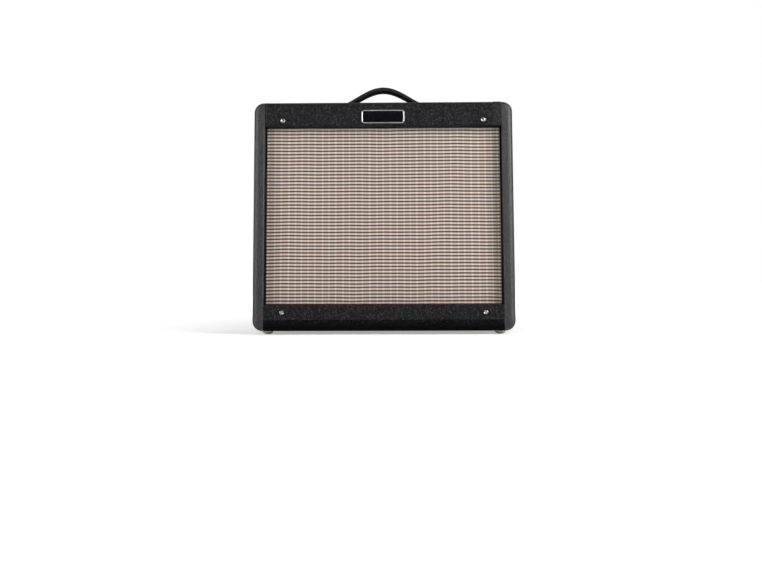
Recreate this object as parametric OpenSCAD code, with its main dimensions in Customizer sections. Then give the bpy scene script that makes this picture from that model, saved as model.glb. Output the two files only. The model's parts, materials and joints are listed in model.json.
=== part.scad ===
// Valve combo guitar amplifier: vinyl-covered cabinet, top-panel controls, one loudspeaker.
// The origin is the middle of the footprint on the floor; +X is to the right seen from the
// front, +Y runs to the back and +Z is up.

/* [Cabinet] */
// Width over the side boards
cab_w = 457; // [420:1:560]
// Height of the cabinet without glides and handle
cab_h = 402; // [380:1:490]
// Depth from the front face to the back edge
cab_d = 233; // [225:1:290]
// Thickness of the four outer boards
board_t = 20; // [16:0.5:24]
// Radius of the four corners seen from the front
corner_r = 17.5; // [12:0.5:23]
// Radius of the outer front and back edges
edge_r = 10; // [6:0.5:12]
// Radius of the edges round the front opening
lip_r = 3; // [1:0.5:4]
// Height of a glide under the cabinet
glide_h = 6; // [4:0.5:10]
// Radius of a glide
glide_r = 10; // [7:0.5:13]
// Distance of a glide's centre from the side face and from the front or back face
glide_in = 25; // [18:1:40]

/* [Front] */
// Thickness of the two front rails
rail_t = 13; // [10:0.5:18]
// Height of the upper rail, below the top board
upper_rail_h = 24; // [18:0.5:40]
// Height of the lower rail, above the bottom board
lower_rail_h = 25.8; // [18:0.2:40]
// Distance of a rail screw from the inner face of the side board
rail_screw_in = 32.2; // [20:0.2:60]
// Height of the upper screws below the top board
upper_screw_drop = 13.7; // [8:0.1:20]
// Height of the lower screws above the bottom board
lower_screw_rise = 12.4; // [8:0.1:20]
// Thickness of the baffle board
baffle_t = 16; // [12:0.5:20]
// Thickness of the grille cloth
cloth_t = 1.2; // [0.8:0.1:2]
// Gap between the baffle board and the side boards
baffle_gap = 2; // [1:0.5:4]

/* [Badge] */
// Width of the badge frame
badge_w = 75.5; // [50:0.5:110]
// Height of the badge frame
badge_h = 24.3; // [18:0.1:30]
// Corner radius of the badge frame
badge_r = 5; // [3:0.5:9]
// Width of the frame's bar
badge_bar = 2.3; // [1.5:0.1:4]
// Distance that the badge frame stands out of the front face
badge_t = 2; // [1:0.1:3]
// Height of the badge's middle below the top face
badge_drop = 27; // [20:0.5:40]

/* [Fixings] */
// Radius of a screw's shank
screw_r = 2.1; // [1.5:0.1:2.6]
// Radius of a cup washer
washer_r = 4.9; // [4.5:0.1:6]
// Height of a cup washer
washer_h = 2.2; // [1.5:0.1:2.8]
// Clearance round a shank in its hole
hole_gap = 0.1; // [0.05:0.05:0.3]

/* [Handle] */
// Distance between the screws at the handle's ends
handle_span = 212; // [180:1:260]
// Height of the top of the strap above the cabinet
handle_rise = 39.7; // [30:0.1:55]
// Width of the strap, front to back
strap_w = 24; // [18:0.5:32]
// Thickness of the strap in the middle
strap_t = 8.6; // [6:0.1:12]
// Thickness of the strap in its end caps
strap_end_t = 3.6; // [3:0.1:5]
// Distance of the handle's middle behind the front face
handle_in = 70; // [50:1:76]
// Length of an end cap
cap_l = 34; // [28:1:44]
// Height of an end cap
cap_h = 7.6; // [6.5:0.1:10]
// Thickness of an end cap's sheet
cap_t = 1.4; // [1:0.1:2]

/* [Control panel] */
// Front edge of the control panel opening, from the front face
slot_in = 149.5; // [145:0.5:160]
// Width of the opening, front to back
slot_w = 53; // [48:1:58]
// Clearance between the control panel and the edges of its opening
slot_gap = 0.5; // [0.2:0.1:1]
// Thickness of the control panel
panel_t = 1.5; // [1:0.1:2]
// Width of the chassis flange in front of and behind the opening
flange_w = 15; // [13:0.5:16]
// Distance of the chassis end from the side board
chassis_gap = 19; // [12:1:30]
// Depth of the chassis below the top board
chassis_h = 50; // [44:1:60]
// Thickness of the chassis steel
chassis_t = 1.5; // [1:0.1:2]

/* [Controls] */
// Radius of a potentiometer's body
pot_r = 12; // [8:0.5:12]
// Radius of a potentiometer's threaded bushing
bush_r = 3.5; // [3.4:0.1:4.5]
// Radius of a control shaft
shaft_r = 3; // [2.5:0.1:3.2]
// Radial clearance of a turning shaft
shaft_gap = 0.05; // [0.02:0.01:0.08]
// Radius of a knob's round base
knob_r = 9.5; // [7:0.5:10]
// Length of a knob's pointer from its axis
pointer_l = 15; // [10:0.5:16]
// Height of a knob
knob_h = 14; // [10:0.5:18]
// Radius of a jack's bore
jack_bore_r = 3.25; // [3.2:0.01:3.4]
// Depth of a jack's bore below its nut
jack_depth = 26; // [20:1:30]
// Radius of the push button
button_r = 4; // [3:0.1:5]
// Travel of the push button
button_travel = 2.5; // [1.5:0.1:3.5]
// Angle of the power toggle to either side of upright
toggle_lean = 13; // [8:0.5:15]
// Length of the toggle above its pivot
toggle_l = 20; // [15:0.5:24]

/* [Valves and transformers] */
// Radius of a valve's glass
valve_r = 11; // [9:0.5:12]
// Length of a power valve below its socket
power_valve_l = 68; // [55:1:76]
// Length of a preamp valve below its socket
preamp_valve_l = 46; // [38:1:54]
// Width of the power transformer
power_tr_w = 76; // [60:1:80]
// Width of the output transformer
output_tr_w = 52; // [40:1:56]

/* [Loudspeaker] */
// Outer radius of the loudspeaker's rim
speaker_r = 154; // [125:0.5:162]
// Width of the rim that lies on the baffle board
rim_w = 16; // [12:0.5:20]
// Depth of the basket
basket_h = 84; // [70:1:90]
// Radius of the ring magnet
magnet_r = 67; // [50:0.5:72]
// Thickness of the ring magnet
magnet_t = 20; // [12:0.5:24]
// Radius of the magnet plates
plate_r = 60; // [45:0.5:66]
// Thickness of each magnet plate
plate_t = 8; // [5:0.5:9]
// Inner radius of the voice coil
coil_r = 21.9; // [18:0.1:26]
// Gap on each side of the voice coil
coil_gap = 0.6; // [0.4:0.1:1]
// Travel of the cone to either side
cone_travel = 3; // [1:0.5:4]

/* [Reverb tank] */
// Length of the tank
tank_l = 235; // [180:1:250]
// Width of the tank
tank_w = 89; // [70:1:92]
// Height of the tank
tank_h = 33; // [26:1:38]

/* [Hidden] */
$fn = 64;

// Main faces of the cabinet
side_x = cab_w / 2;
inner_x = side_x - board_t;
front_y = -cab_d / 2;
back_y = cab_d / 2;
base_z = glide_h;
top_z = glide_h + cab_h;
floor_z = base_z + board_t;
ceil_z = top_z - board_t;
corner = min(corner_r, board_t - 1);
edge = min(edge_r, corner - 1);
lip = min(lip_r, rail_t - 2);
opening_lo = floor_z + lower_rail_h;
opening_hi = ceil_z - upper_rail_h;

// Front
cloth_y = front_y + rail_t;
baffle_y = cloth_y + cloth_t;
baffle_back_y = baffle_y + baffle_t;
baffle_x = inner_x - baffle_gap;
baffle_lo = floor_z + 1;
baffle_hi = ceil_z - 1;
rail_screw_x = inner_x - rail_screw_in;
upper_screw_z = ceil_z - upper_screw_drop;
lower_screw_z = floor_z + lower_screw_rise;
badge_z = top_z - badge_drop;
screw_len = rail_t + cloth_t + baffle_t + 6;

// Back
back_t = 12;
back_inset = 3;
back_face_y = back_y - back_inset;
back_inner_y = back_face_y - back_t;
back_x = inner_x - 1;
lower_back_hi = floor_z + 116;
upper_back_lo = ceil_z - 88;
cleat = 16;
back_screw_x = inner_x - cleat / 2;
back_screw_z = [floor_z + 18, lower_back_hi - 18, upper_back_lo + 14, ceil_z - 14];

// Control panel and chassis
slot_y0 = front_y + slot_in;
slot_y1 = slot_y0 + slot_w;
panel_y = (slot_y0 + slot_y1) / 2;
chassis_x = inner_x - chassis_gap;
slot_x = chassis_x - 6;
chassis_y0 = slot_y0 - flange_w;
chassis_y1 = slot_y1 + flange_w;
chassis_z = ceil_z - chassis_h;
panel_z = ceil_z + panel_t;
chassis_screw_x = chassis_x - 34;
chassis_screw_y = [slot_y0 - flange_w / 2, slot_y1 + flange_w / 2];
control_pitch = (slot_x - 24) * 2 / 9;
bush_h = 6;
knob_gap = 1;
knob_z = panel_z + bush_h + knob_gap;
shaft_top = knob_z + knob_h - 5;
shaft_foot = ceil_z - 6;
nut_h = 2.2;
button_z = panel_z + 2.5;
pivot_z = panel_z + 1;
jack_r = 4.7;
switch_r = 5.9;
jewel_r = 6.9;
foot_x = -chassis_x + 44;
jack_z = ceil_z - 24;
inlet_x = chassis_x - 44;
fuse_x = inlet_x - 46;
rear_z = ceil_z - chassis_h / 2;

// Valves, transformers and circuit board
socket_h = 7;
socket_r = valve_r + 3;
valve_y = panel_y;
power_tr_x = chassis_x - power_tr_w / 2 - 8;
output_tr_x = power_tr_x - power_tr_w / 2 - output_tr_w / 2 - 8;
// Five valves in equal parts of the room between the chassis's left end and the output transformer
valve_x0 = -chassis_x + 40;
valve_pitch = (output_tr_x - output_tr_w / 2 - 4 - valve_x0) / 5;
preamp_x = [for (i = [0 : 2]) valve_x0 + valve_pitch * (i + 0.5)];
power_x = [for (i = [3, 4]) valve_x0 + valve_pitch * (i + 0.5)];
board_z = chassis_z + 10;
board_x0 = -chassis_x + 12;
board_x1 = fuse_x - 18;

// Loudspeaker, measured back from the baffle board along its axis
speaker_z = (floor_z + ceil_z) / 2;
mouth_r = speaker_r - rim_w + 3;
wall_r = speaker_r - rim_w;
basket_foot_r = plate_r + 6;
motor_h = basket_h;
plate_bore_r = coil_r + 0.8 + coil_gap;
pole_r = coil_r - coil_gap;
cone_r = wall_r - 14;
neck_h = basket_h - 18;
ledge_h = neck_h + 2;
bolt_circle_r = speaker_r - 6;
basket_t = 2;
landing_h = 10;
tab_angle = 112.5;
tab_h = basket_h * 0.64;
tab_r = wall_at(tab_h) + 10;
cone_edge_h = 7;
cone_line = [for (i = [0 : 6]) let (u = i / 6)
    [coil_r + 0.8 + (cone_r - coil_r - 0.8) * u, neck_h + (cone_edge_h - neck_h) * (u + 0.22 * u * (1 - u))]];

// Handle: where its arch meets the flat ends, and the height of those ends' upper face
arch_l = handle_span / 2 - cap_l / 2 + 4;
strap_foot = strap_end_t + 0.6;

// Reverb tank
tank_y = baffle_back_y + 34 + tank_w / 2;
tank_x = -20;

function control_x(i) = (i - 4.5) * control_pitch;
// Inner radius of the basket's wall at a height behind the baffle board
function wall_at(h) = wall_r + (basket_foot_r - wall_r) * (h - landing_h) / (basket_h - landing_h);
function arch_z(x) = top_z + strap_foot
    + (handle_rise - strap_foot) * (1 + cos(180 * min(1, abs(x) / arch_l))) / 2;
function strap_at(x) = strap_end_t + (strap_t - strap_end_t) * pow(cos(90 * min(1, abs(x) / arch_l)), 0.8);

// ---- Shared shapes ----

// Cuts away what lies outside a round corner; inward points into the outline
module corner_cut(at, inward, r) {
    translate(at) difference() {
        translate([inward.x > 0 ? -1 : -r, inward.y > 0 ? -1 : -r]) square(r + 1);
        translate([inward.x * r, inward.y * r]) circle(r = r);
    }
}

// Rectangle from lo to hi whose corners have their own radii: low-low, high-low, high-high, low-high
module rounded_2d(lo, hi, r) {
    difference() {
        translate(lo) square(hi - lo);
        if (r[0] > 0) corner_cut(lo, [1, 1], r[0]);
        if (r[1] > 0) corner_cut([hi.x, lo.y], [-1, 1], r[1]);
        if (r[2] > 0) corner_cut(hi, [-1, -1], r[2]);
        if (r[3] > 0) corner_cut([lo.x, hi.y], [1, -1], r[3]);
    }
}

// Box between two corners
module block(lo, hi) {
    translate(lo) cube(hi - lo);
}

// Extrudes an outline drawn in (Y, Z) along X
module along_x(x0, x1) {
    translate([x0, 0, 0]) rotate([90, 0, 90]) linear_extrude(x1 - x0) children();
}

// Puts a piece whose own +Z points to the front
module facing_front(x, y, z) {
    translate([x, y, z]) rotate([90, 0, 0]) children();
}

// Puts a piece whose own +Z points to the back
module facing_back(x, y, z) {
    translate([x, y, z]) rotate([-90, 0, 0]) children();
}

// Cup washer standing on z = 0
module cup_washer() {
    difference() {
        cylinder(h = washer_h, r1 = washer_r, r2 = washer_r - 0.9);
        translate([0, 0, -1]) cylinder(h = washer_h + 2, r = screw_r + hole_gap);
        translate([0, 0, 0.5]) cylinder(h = washer_h, r1 = screw_r + hole_gap, r2 = washer_r - 1);
    }
}

// Oval-head screw for a cup washer, its shank running down from z = 0
module oval_screw(length) {
    head_r = washer_r - 1.5;
    translate([0, 0, -length]) cylinder(h = length + 1, r = screw_r);
    translate([0, 0, 0.8]) cylinder(h = washer_h - 0.8, r1 = screw_r, r2 = head_r);
    translate([0, 0, washer_h]) cylinder(h = 0.7, r1 = head_r, r2 = head_r * 0.6);
}

// Hole for a screw, from z = -length up past the surface
module screw_hole(length) {
    translate([0, 0, -length]) cylinder(h = length + 1, r = screw_r + hole_gap);
}

// ---- Cabinet ----

// One side board with the round corners of the cabinet, drawn on the +X side
module side_board() {
    straight_lo = base_z + corner;
    straight_hi = top_z - corner;
    axis_x = side_x - corner;
    difference() {
        translate([0, 0, straight_lo]) linear_extrude(straight_hi - straight_lo)
            rounded_2d([inner_x, front_y], [side_x, back_y], [0, edge, edge, 0]);
        // Lip beside the grille's opening
        translate([0, 0, opening_lo]) linear_extrude(opening_hi - opening_lo)
            corner_cut([inner_x, front_y], [1, 1], lip);
    }
    for (up = [0, 1]) translate([0, 0, up * (base_z + top_z)]) mirror([0, 0, up]) {
        // Quarter turn round the corner's axis
        translate([axis_x, 0, base_z + corner]) rotate([-90, 0, 0]) rotate_extrude(angle = 90)
            rounded_2d([0, front_y], [corner, back_y], [0, edge, edge, 0]);
        along_x(inner_x, axis_x)
            rounded_2d([front_y, base_z], [back_y, base_z + corner], [edge, edge, 0, 0]);
    }
}

module side_panel_left() {
    color("#2b2b2d") mirror([1, 0, 0]) side_board();
}

module side_panel_right() {
    color("#2b2b2d") side_board();
}

module top_panel() {
    color("#2b2b2d") difference() {
        along_x(-inner_x, inner_x)
            rounded_2d([front_y, ceil_z], [back_y, top_z], [0, 0, edge, edge]);
        block([-slot_x, slot_y0, ceil_z - 1], [slot_x, slot_y1, top_z + 1]);
        for (x = [-1, 1] * chassis_screw_x, y = chassis_screw_y)
            translate([x, y, top_z]) screw_hole(board_t + 1);
        for (s = [-1, 1]) translate([s * handle_span / 2, front_y + handle_in, top_z]) screw_hole(board_t + 1);
    }
}

module bottom_panel() {
    color("#2b2b2d") difference() {
        along_x(-inner_x, inner_x)
            rounded_2d([front_y, base_z], [back_y, floor_z], [edge, edge, 0, 0]);
        for (x = [-1, 1] * (tank_l / 2 - 12), s = [-1, 1])
            translate([tank_x + x, tank_y + s * (tank_w / 2 + 5), floor_z]) screw_hole(10);
    }
}

module upper_front_rail() {
    color("#2b2b2d") difference() {
        along_x(-inner_x, inner_x)
            rounded_2d([front_y, opening_hi], [cloth_y, ceil_z], [lip, 0, 0, 0]);
        for (s = [-1, 1]) facing_front(s * rail_screw_x, front_y, upper_screw_z) screw_hole(screw_len);
    }
}

module lower_front_rail() {
    color("#2b2b2d") difference() {
        along_x(-inner_x, inner_x)
            rounded_2d([front_y, floor_z], [cloth_y, opening_lo], [0, 0, 0, lip]);
        for (s = [-1, 1]) facing_front(s * rail_screw_x, front_y, lower_screw_z) screw_hole(screw_len);
    }
}

// Holes for the four screws that hold the rails to the baffle board
module rail_screw_holes() {
    for (s = [-1, 1], z = [upper_screw_z, lower_screw_z])
        facing_front(s * rail_screw_x, front_y, z) screw_hole(screw_len);
}

module baffle_board() {
    color("#26211d") difference() {
        block([-baffle_x, baffle_y, baffle_lo], [baffle_x, baffle_back_y, baffle_hi]);
        facing_back(0, baffle_y - 1, speaker_z) cylinder(h = baffle_t + 2, r = mouth_r, $fn = 96);
        at_bolts() translate([0, 0, -baffle_t - 1]) cylinder(h = baffle_t + 2, r = screw_r + hole_gap);
        rail_screw_holes();
    }
}

module grille_cloth() {
    color("#a8998e") difference() {
        block([-baffle_x, cloth_y, baffle_lo], [baffle_x, baffle_y, baffle_hi]);
        rail_screw_holes();
    }
}

module rail_screws() {
    color("#c9c7c2") for (s = [-1, 1], z = [upper_screw_z, lower_screw_z])
        facing_front(s * rail_screw_x, front_y, z) oval_screw(screw_len - 2);
}

module cup_washers() {
    color("#c9c7c2") {
        for (s = [-1, 1], z = [upper_screw_z, lower_screw_z])
            facing_front(s * rail_screw_x, front_y, z) cup_washer();
        for (s = [-1, 1], y = chassis_screw_y)
            translate([s * chassis_screw_x, y, top_z]) cup_washer();
        for (s = [-1, 1], z = back_screw_z)
            facing_back(s * back_screw_x, back_face_y, z) cup_washer();
    }
}

module nameplate_frame() {
    hole_r = badge_r - badge_bar;
    inner = [badge_w / 2 - badge_bar, badge_h / 2 - badge_bar];
    color("#d6d6d4") facing_front(0, front_y, badge_z) linear_extrude(badge_t) difference() {
        rounded_2d([-badge_w, -badge_h] / 2, [badge_w, badge_h] / 2, [1, 1, 1, 1] * badge_r);
        rounded_2d(-inner, inner, [1, 1, 1, 1] * hole_r);
    }
}

module nameplate_insert() {
    gap = 0.05;
    inner = [badge_w / 2 - badge_bar - gap, badge_h / 2 - badge_bar - gap];
    color("#15161c") facing_front(0, front_y, badge_z) linear_extrude(badge_t * 0.6)
        rounded_2d(-inner, inner, [1, 1, 1, 1] * (badge_r - badge_bar - gap));
}

module upper_back_panel() {
    cut_y0 = back_inner_y - 1;
    cut_y1 = back_face_y + 1;
    color("#2b2b2d") difference() {
        block([-back_x, back_inner_y, upper_back_lo], [back_x, back_face_y, ceil_z - 0.5]);
        block([fuse_x - 17, cut_y0, rear_z - 19], [inlet_x + 32, cut_y1, rear_z + 19]);
        block([foot_x - 16, cut_y0, rear_z - 16], [foot_x + 16, cut_y1, rear_z + 16]);
        for (s = [-1, 1], z = [back_screw_z[2], back_screw_z[3]])
            facing_back(s * back_screw_x, back_face_y, z) screw_hole(back_t + 1);
    }
}

module lower_back_panel() {
    color("#2b2b2d") difference() {
        block([-back_x, back_inner_y, floor_z + 0.5], [back_x, back_face_y, lower_back_hi]);
        for (s = [-1, 1], z = [back_screw_z[0], back_screw_z[1]])
            facing_back(s * back_screw_x, back_face_y, z) screw_hole(back_t + 1);
    }
}

module back_panel_screws() {
    color("#c9c7c2") for (s = [-1, 1], z = back_screw_z)
        facing_back(s * back_screw_x, back_face_y, z) oval_screw(back_t + cleat - 4);
}

module panel_cleats() {
    color("#b79a6b") for (s = [-1, 1], span = [[floor_z, lower_back_hi], [upper_back_lo, ceil_z]]) difference() {
        mirror([s < 0 ? 1 : 0, 0, 0])
            block([inner_x - cleat, back_inner_y - cleat, span[0]], [inner_x, back_inner_y, span[1]]);
        for (z = back_screw_z) facing_back(s * back_screw_x, back_face_y, z) screw_hole(back_t + cleat - 2);
    }
}

module glides() {
    color("#cfcfcd") for (sx = [-1, 1], sy = [-1, 1])
        translate([sx * (side_x - glide_in), sy * (back_y - glide_in), 0]) rotate_extrude() polygon([
            [0, 0], [glide_r * 0.45, 0], [glide_r * 0.8, glide_h * 0.18], [glide_r, glide_h * 0.55],
            [glide_r, glide_h], [0, glide_h]
        ]);
}

// ---- Handle ----

module strap_outline() {
    steps = 20;
    end = handle_span / 2 + cap_l / 2 - cap_t - 1;
    xs = [-end, for (i = [-steps : steps]) i * arch_l / steps, end];
    polygon(concat(
        [for (x = xs) [x, arch_z(x)]],
        [for (i = [len(xs) - 1 : -1 : 0]) [xs[i], arch_z(xs[i]) - strap_at(xs[i])]]
    ));
}

module handle_strap() {
    color("#1d1d1f") difference() {
        translate([0, front_y + handle_in + strap_w / 2, 0]) rotate([90, 0, 0])
            linear_extrude(strap_w) strap_outline();
        for (s = [-1, 1]) translate([s * handle_span / 2, front_y + handle_in, top_z + 6]) screw_hole(8);
    }
}

module handle_caps() {
    half_w = strap_w / 2 + cap_t + 0.4;
    color("#d0d0ce") for (s = [-1, 1]) translate([s * handle_span / 2, front_y + handle_in, top_z]) difference() {
        rotate([90, 0, 0]) translate([0, 0, -half_w]) linear_extrude(half_w * 2)
            rounded_2d([-cap_l / 2, 0], [cap_l / 2, cap_h], [0, 0, 4, 4]);
        // Room for the strap's end, open towards the middle of the handle
        translate([s > 0 ? -cap_l / 2 - 1 : cap_t - cap_l / 2, -strap_w / 2 - 0.4, -1])
            cube([cap_l + 1 - cap_t, strap_w + 0.8, cap_h - cap_t + 1]);
        translate([0, 0, cap_h]) screw_hole(cap_h);
    }
}

module handle_screws() {
    color("#d0d0ce") for (s = [-1, 1]) translate([s * handle_span / 2, front_y + handle_in, top_z + cap_h]) {
        translate([0, 0, -cap_h - board_t + 2]) cylinder(h = cap_h + board_t - 1.5, r = screw_r);
        cylinder(h = 1.6, r1 = 4.4, r2 = 3.2);
    }
}

// ---- Chassis and control panel ----

module chassis() {
    t = chassis_t;
    color("#a9acb0") difference() {
        block([-chassis_x, chassis_y0, chassis_z], [chassis_x, chassis_y1, ceil_z]);
        block([t - chassis_x, chassis_y0 + t, chassis_z + t], [chassis_x - t, chassis_y1 - t, ceil_z - t]);
        // The panel is let in where the pots and switches pass
        block([8 - slot_x, slot_y0 + 4, ceil_z - 5], [slot_x - 8, slot_y1 - 4, ceil_z + 1]);
        for (s = [-1, 1], y = chassis_screw_y)
            translate([s * chassis_screw_x, y, ceil_z]) screw_hole(t + 1);
        for (x = concat(preamp_x, power_x)) translate([x, valve_y, chassis_z - 1]) cylinder(h = t + 2, r = valve_r);
        translate([inlet_x, chassis_y1, rear_z]) cube([28.4, 10, 20.4], center = true);
        facing_back(fuse_x, chassis_y1 - 5, rear_z) cylinder(h = 10, r = 6.1);
        facing_back(foot_x, chassis_y1 - 5, rear_z) cylinder(h = 10, r = jack_r + hole_gap);
        for (p = lead_holes) translate([p.x, p.y, chassis_z - 1]) cylinder(h = t + 2, r = 4);
    }
}

module control_panel() {
    g = slot_gap;
    color("#cfd0d2") difference() {
        block([g - slot_x, slot_y0 + g, ceil_z], [slot_x - g, slot_y1 - g, panel_z]);
        for (i = [1, 3, 4, 5, 6, 7]) panel_hole(i, bush_r + hole_gap);
        panel_hole(0, jack_r + hole_gap);
        panel_hole(2, switch_r + hole_gap);
        panel_hole(8, jewel_r + 1.1);
        panel_hole(9, switch_r + hole_gap);
    }
}

// Hole in the control panel at control number i
module panel_hole(i, r) {
    translate([control_x(i), panel_y, ceil_z - 1]) cylinder(h = panel_t + 2, r = r);
}

module chassis_screws() {
    color("#c9c7c2") for (s = [-1, 1], y = chassis_screw_y)
        translate([s * chassis_screw_x, y, top_z]) oval_screw(board_t + 9);
}

module pot_bodies() {
    color("#9aa0a6") for (i = [1, 3, 4, 5, 6, 7]) translate([control_x(i), panel_y, ceil_z]) difference() {
        union() {
            translate([0, 0, -10]) cylinder(h = 10, r = pot_r);
            cylinder(h = panel_t + bush_h, r = bush_r);
        }
        translate([0, 0, -7]) cylinder(h = 20, r = shaft_r + shaft_gap);
    }
}

// Hexagon nut with a round hole, its foot on z = 0
module hex_nut(across, bore) {
    difference() {
        cylinder(h = nut_h, r = across / sqrt(3), $fn = 6);
        translate([0, 0, -1]) cylinder(h = nut_h + 2, r = bore);
    }
}

module panel_nuts() {
    color("#c4c6c8") {
        for (i = [1, 3, 4, 5, 6, 7])
            translate([control_x(i), panel_y, panel_z]) hex_nut(2 * bush_r + 3.5, bush_r + hole_gap);
        translate([control_x(0), panel_y, panel_z]) hex_nut(2 * jack_r + 4, jack_r + hole_gap);
        for (i = [2, 9])
            translate([control_x(i), panel_y, panel_z]) hex_nut(2 * switch_r + 3, switch_r + hole_gap);
        facing_back(foot_x, chassis_y1, rear_z) hex_nut(2 * jack_r + 4, jack_r + hole_gap);
    }
}

// Pointer knob with its shaft; the shaft turns in the potentiometer's bushing
module pointer_knob(i) {
    flank = [[-5.4, 0], [-1.6, 1 - pointer_l], [1.6, 1 - pointer_l], [5.4, 0]];
    translate([control_x(i), panel_y, 0]) {
        color("#17171a") translate([0, 0, knob_z]) difference() {
            union() {
                cylinder(h = 3, r = knob_r);
                cylinder(h = knob_h, r = 6.4);
                linear_extrude(knob_h) polygon(flank);
                translate([0, 1 - pointer_l, 0]) cylinder(h = knob_h, r = 1.7);
            }
            translate([0, 0, -1]) cylinder(h = shaft_top - knob_z + 1.1, r = shaft_r + 0.02);
        }
        color("#9aa0a6") translate([0, 0, shaft_foot]) cylinder(h = shaft_top - shaft_foot, r = shaft_r);
    }
}

module volume_knob() pointer_knob(1);
module treble_knob() pointer_knob(3);
module bass_knob() pointer_knob(4);
module middle_knob() pointer_knob(5);
module master_knob() pointer_knob(6);
module reverb_knob() pointer_knob(7);

// Jack socket below z = 0 with its threaded neck above it
module jack(neck) {
    difference() {
        union() {
            translate([-8, -9, -jack_depth - 2]) cube([16, 18, jack_depth + 2]);
            cylinder(h = neck, r = jack_r);
        }
        translate([0, 0, -jack_depth]) cylinder(h = jack_depth + neck + 1, r = jack_bore_r);
    }
}

module jack_sockets() {
    color("#3a3a3c") {
        translate([control_x(0), panel_y, ceil_z]) jack(panel_t + nut_h + 0.6);
        facing_back(foot_x, chassis_y1 - chassis_t, rear_z) jack(chassis_t + nut_h + 0.6);
    }
}

module switch_bodies() {
    color("#4a4c50") {
        // Push switch
        translate([control_x(2), panel_y, ceil_z]) difference() {
            union() {
                translate([-8, -8, -20]) cube([16, 16, 20]);
                cylinder(h = panel_t + nut_h + 0.3, r = switch_r);
            }
            translate([0, 0, -16]) cylinder(h = 30, r = button_r + shaft_gap);
        }
        // Toggle switch
        translate([control_x(9), panel_y, ceil_z]) difference() {
            union() {
                translate([-7, -13, -20]) cube([14, 26, 20]);
                cylinder(h = panel_t + 8, r = switch_r);
            }
            translate([0, 0, -9]) cylinder(h = 13, r = 3.2);
            translate([0, 0, 3.9]) cylinder(h = panel_t + 4.2, r1 = 3.2, r2 = 5.2);
        }
    }
}

module boost_button() {
    color("#1b1b1c") translate([control_x(2), panel_y, ceil_z - 12])
        cylinder(h = 12 + panel_t + 8, r = button_r);
}

module power_toggle() {
    color("#d4d4d2") translate([control_x(9), panel_y, pivot_z]) rotate([-toggle_lean, 0, 0]) {
        sphere(r = 2.8);
        cylinder(h = toggle_l - 2.4, r1 = 1.6, r2 = 2.6);
        translate([0, 0, toggle_l - 2.4]) sphere(r = 2.6);
    }
}

module pilot_bezel() {
    color("#d0d0ce") translate([control_x(8), panel_y, 0]) difference() {
        union() {
            translate([0, 0, ceil_z - 18]) cylinder(h = panel_z - ceil_z + 18, r = jewel_r + 1);
            translate([0, 0, panel_z]) cylinder(h = 3.4, r1 = jewel_r + 3, r2 = jewel_r + 1.8);
        }
        translate([0, 0, ceil_z - 16]) cylinder(h = 30, r = jewel_r + 0.05);
    }
}

module pilot_jewel() {
    color("#a01218") translate([control_x(8), panel_y, panel_z - 3]) {
        cylinder(h = 6, r = jewel_r);
        translate([0, 0, 6]) cylinder(h = 3, r1 = jewel_r, r2 = jewel_r * 0.6);
        translate([0, 0, 9]) cylinder(h = 1.6, r1 = jewel_r * 0.6, r2 = 0.8);
    }
}

// ---- Inside the chassis ----

module circuit_board() {
    y0 = chassis_y0 + 6;
    y1 = chassis_y1 - 6;
    color("#2f5a3a") difference() {
        union() {
            block([board_x0, y0, board_z], [board_x1, y1, board_z + 1.6]);
            // Standoffs
            for (x = [board_x0 + 8, (board_x0 + board_x1) / 2, board_x1 - 8], y = [y0 + 6, y1 - 6])
                translate([x, y, chassis_z + chassis_t]) cylinder(h = board_z - chassis_z, r = 3);
        }
        for (x = concat(preamp_x, power_x)) translate([x, valve_y, board_z - 1]) cylinder(h = 4, r = valve_r - 1);
        // Room for the footswitch jack
        block([foot_x - 9, chassis_y1 - jack_depth - 8, board_z - 9], [foot_x + 9, chassis_y1, board_z + 9]);
    }
}

module filter_capacitors() {
    color("#2a4a7a") for (i = [0 : 3]) translate([board_x1 - 10 - i * 16, chassis_y0 + 15, board_z + 1.6])
        cylinder(h = 17, r = 7);
}

module valve_sockets() {
    color("#3b2a22") for (x = concat(preamp_x, power_x)) translate([x, valve_y, chassis_z - socket_h]) difference() {
        cylinder(h = socket_h, r = socket_r);
        translate([0, 0, -1]) cylinder(h = 4 + 1, r = valve_r + 0.1);
        cylinder(h = socket_h + 1, r = 4);
    }
}

// Glass valve hanging from z = 0 with a domed end and a sealing tip
module valve(length) {
    r = valve_r;
    rotate_extrude() polygon([
        [0, 0], [r - 0.6, 0], [r, -1], [r, 6 - length], [r - 1.2, 2.6 - length], [r - 4, 0.4 - length],
        [2.6, -length], [1.6, -length - 2.4], [0.5, -length - 4], [0, -length - 4]
    ]);
}

module power_valves() {
    color("#c9d2d6") for (x = power_x)
        translate([x, valve_y, chassis_z - socket_h + 3.8]) valve(power_valve_l);
}

module preamp_valves() {
    color("#c9d2d6") for (x = preamp_x)
        translate([x, valve_y, chassis_z - socket_h + 3.8]) valve(preamp_valve_l);
}

module valve_shields() {
    shield_l = preamp_valve_l + 6;
    color("#b9bcbf") for (x = preamp_x) translate([x, valve_y, chassis_z - socket_h - shield_l]) difference() {
        cylinder(h = shield_l, r = socket_r);
        translate([0, 0, 1]) cylinder(h = shield_l, r = socket_r - 0.8);
        translate([0, 0, -1]) cylinder(h = 4, r = valve_r - 3);
    }
}

// Transformer hanging from z = 0: a laminated core with a bell cover below
module transformer(w, core_h) {
    d = w * 0.82;
    translate([-w / 2, -d / 2, -core_h]) cube([w, d, core_h]);
    translate([0, 0, -core_h]) difference() {
        translate([-w / 2 + 5, -d / 2 + 5, -20]) cube([w - 10, d - 10, 20]);
        for (s = [-1, 1]) {
            translate([s * w / 2 - s * 5, 0, -20]) rotate([0, s * 45, 0]) cube([12, d, 12], center = true);
            translate([0, s * d / 2 - s * 5, -20]) rotate([45, 0, 0]) cube([w, 12, 12], center = true);
        }
    }
}

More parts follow.
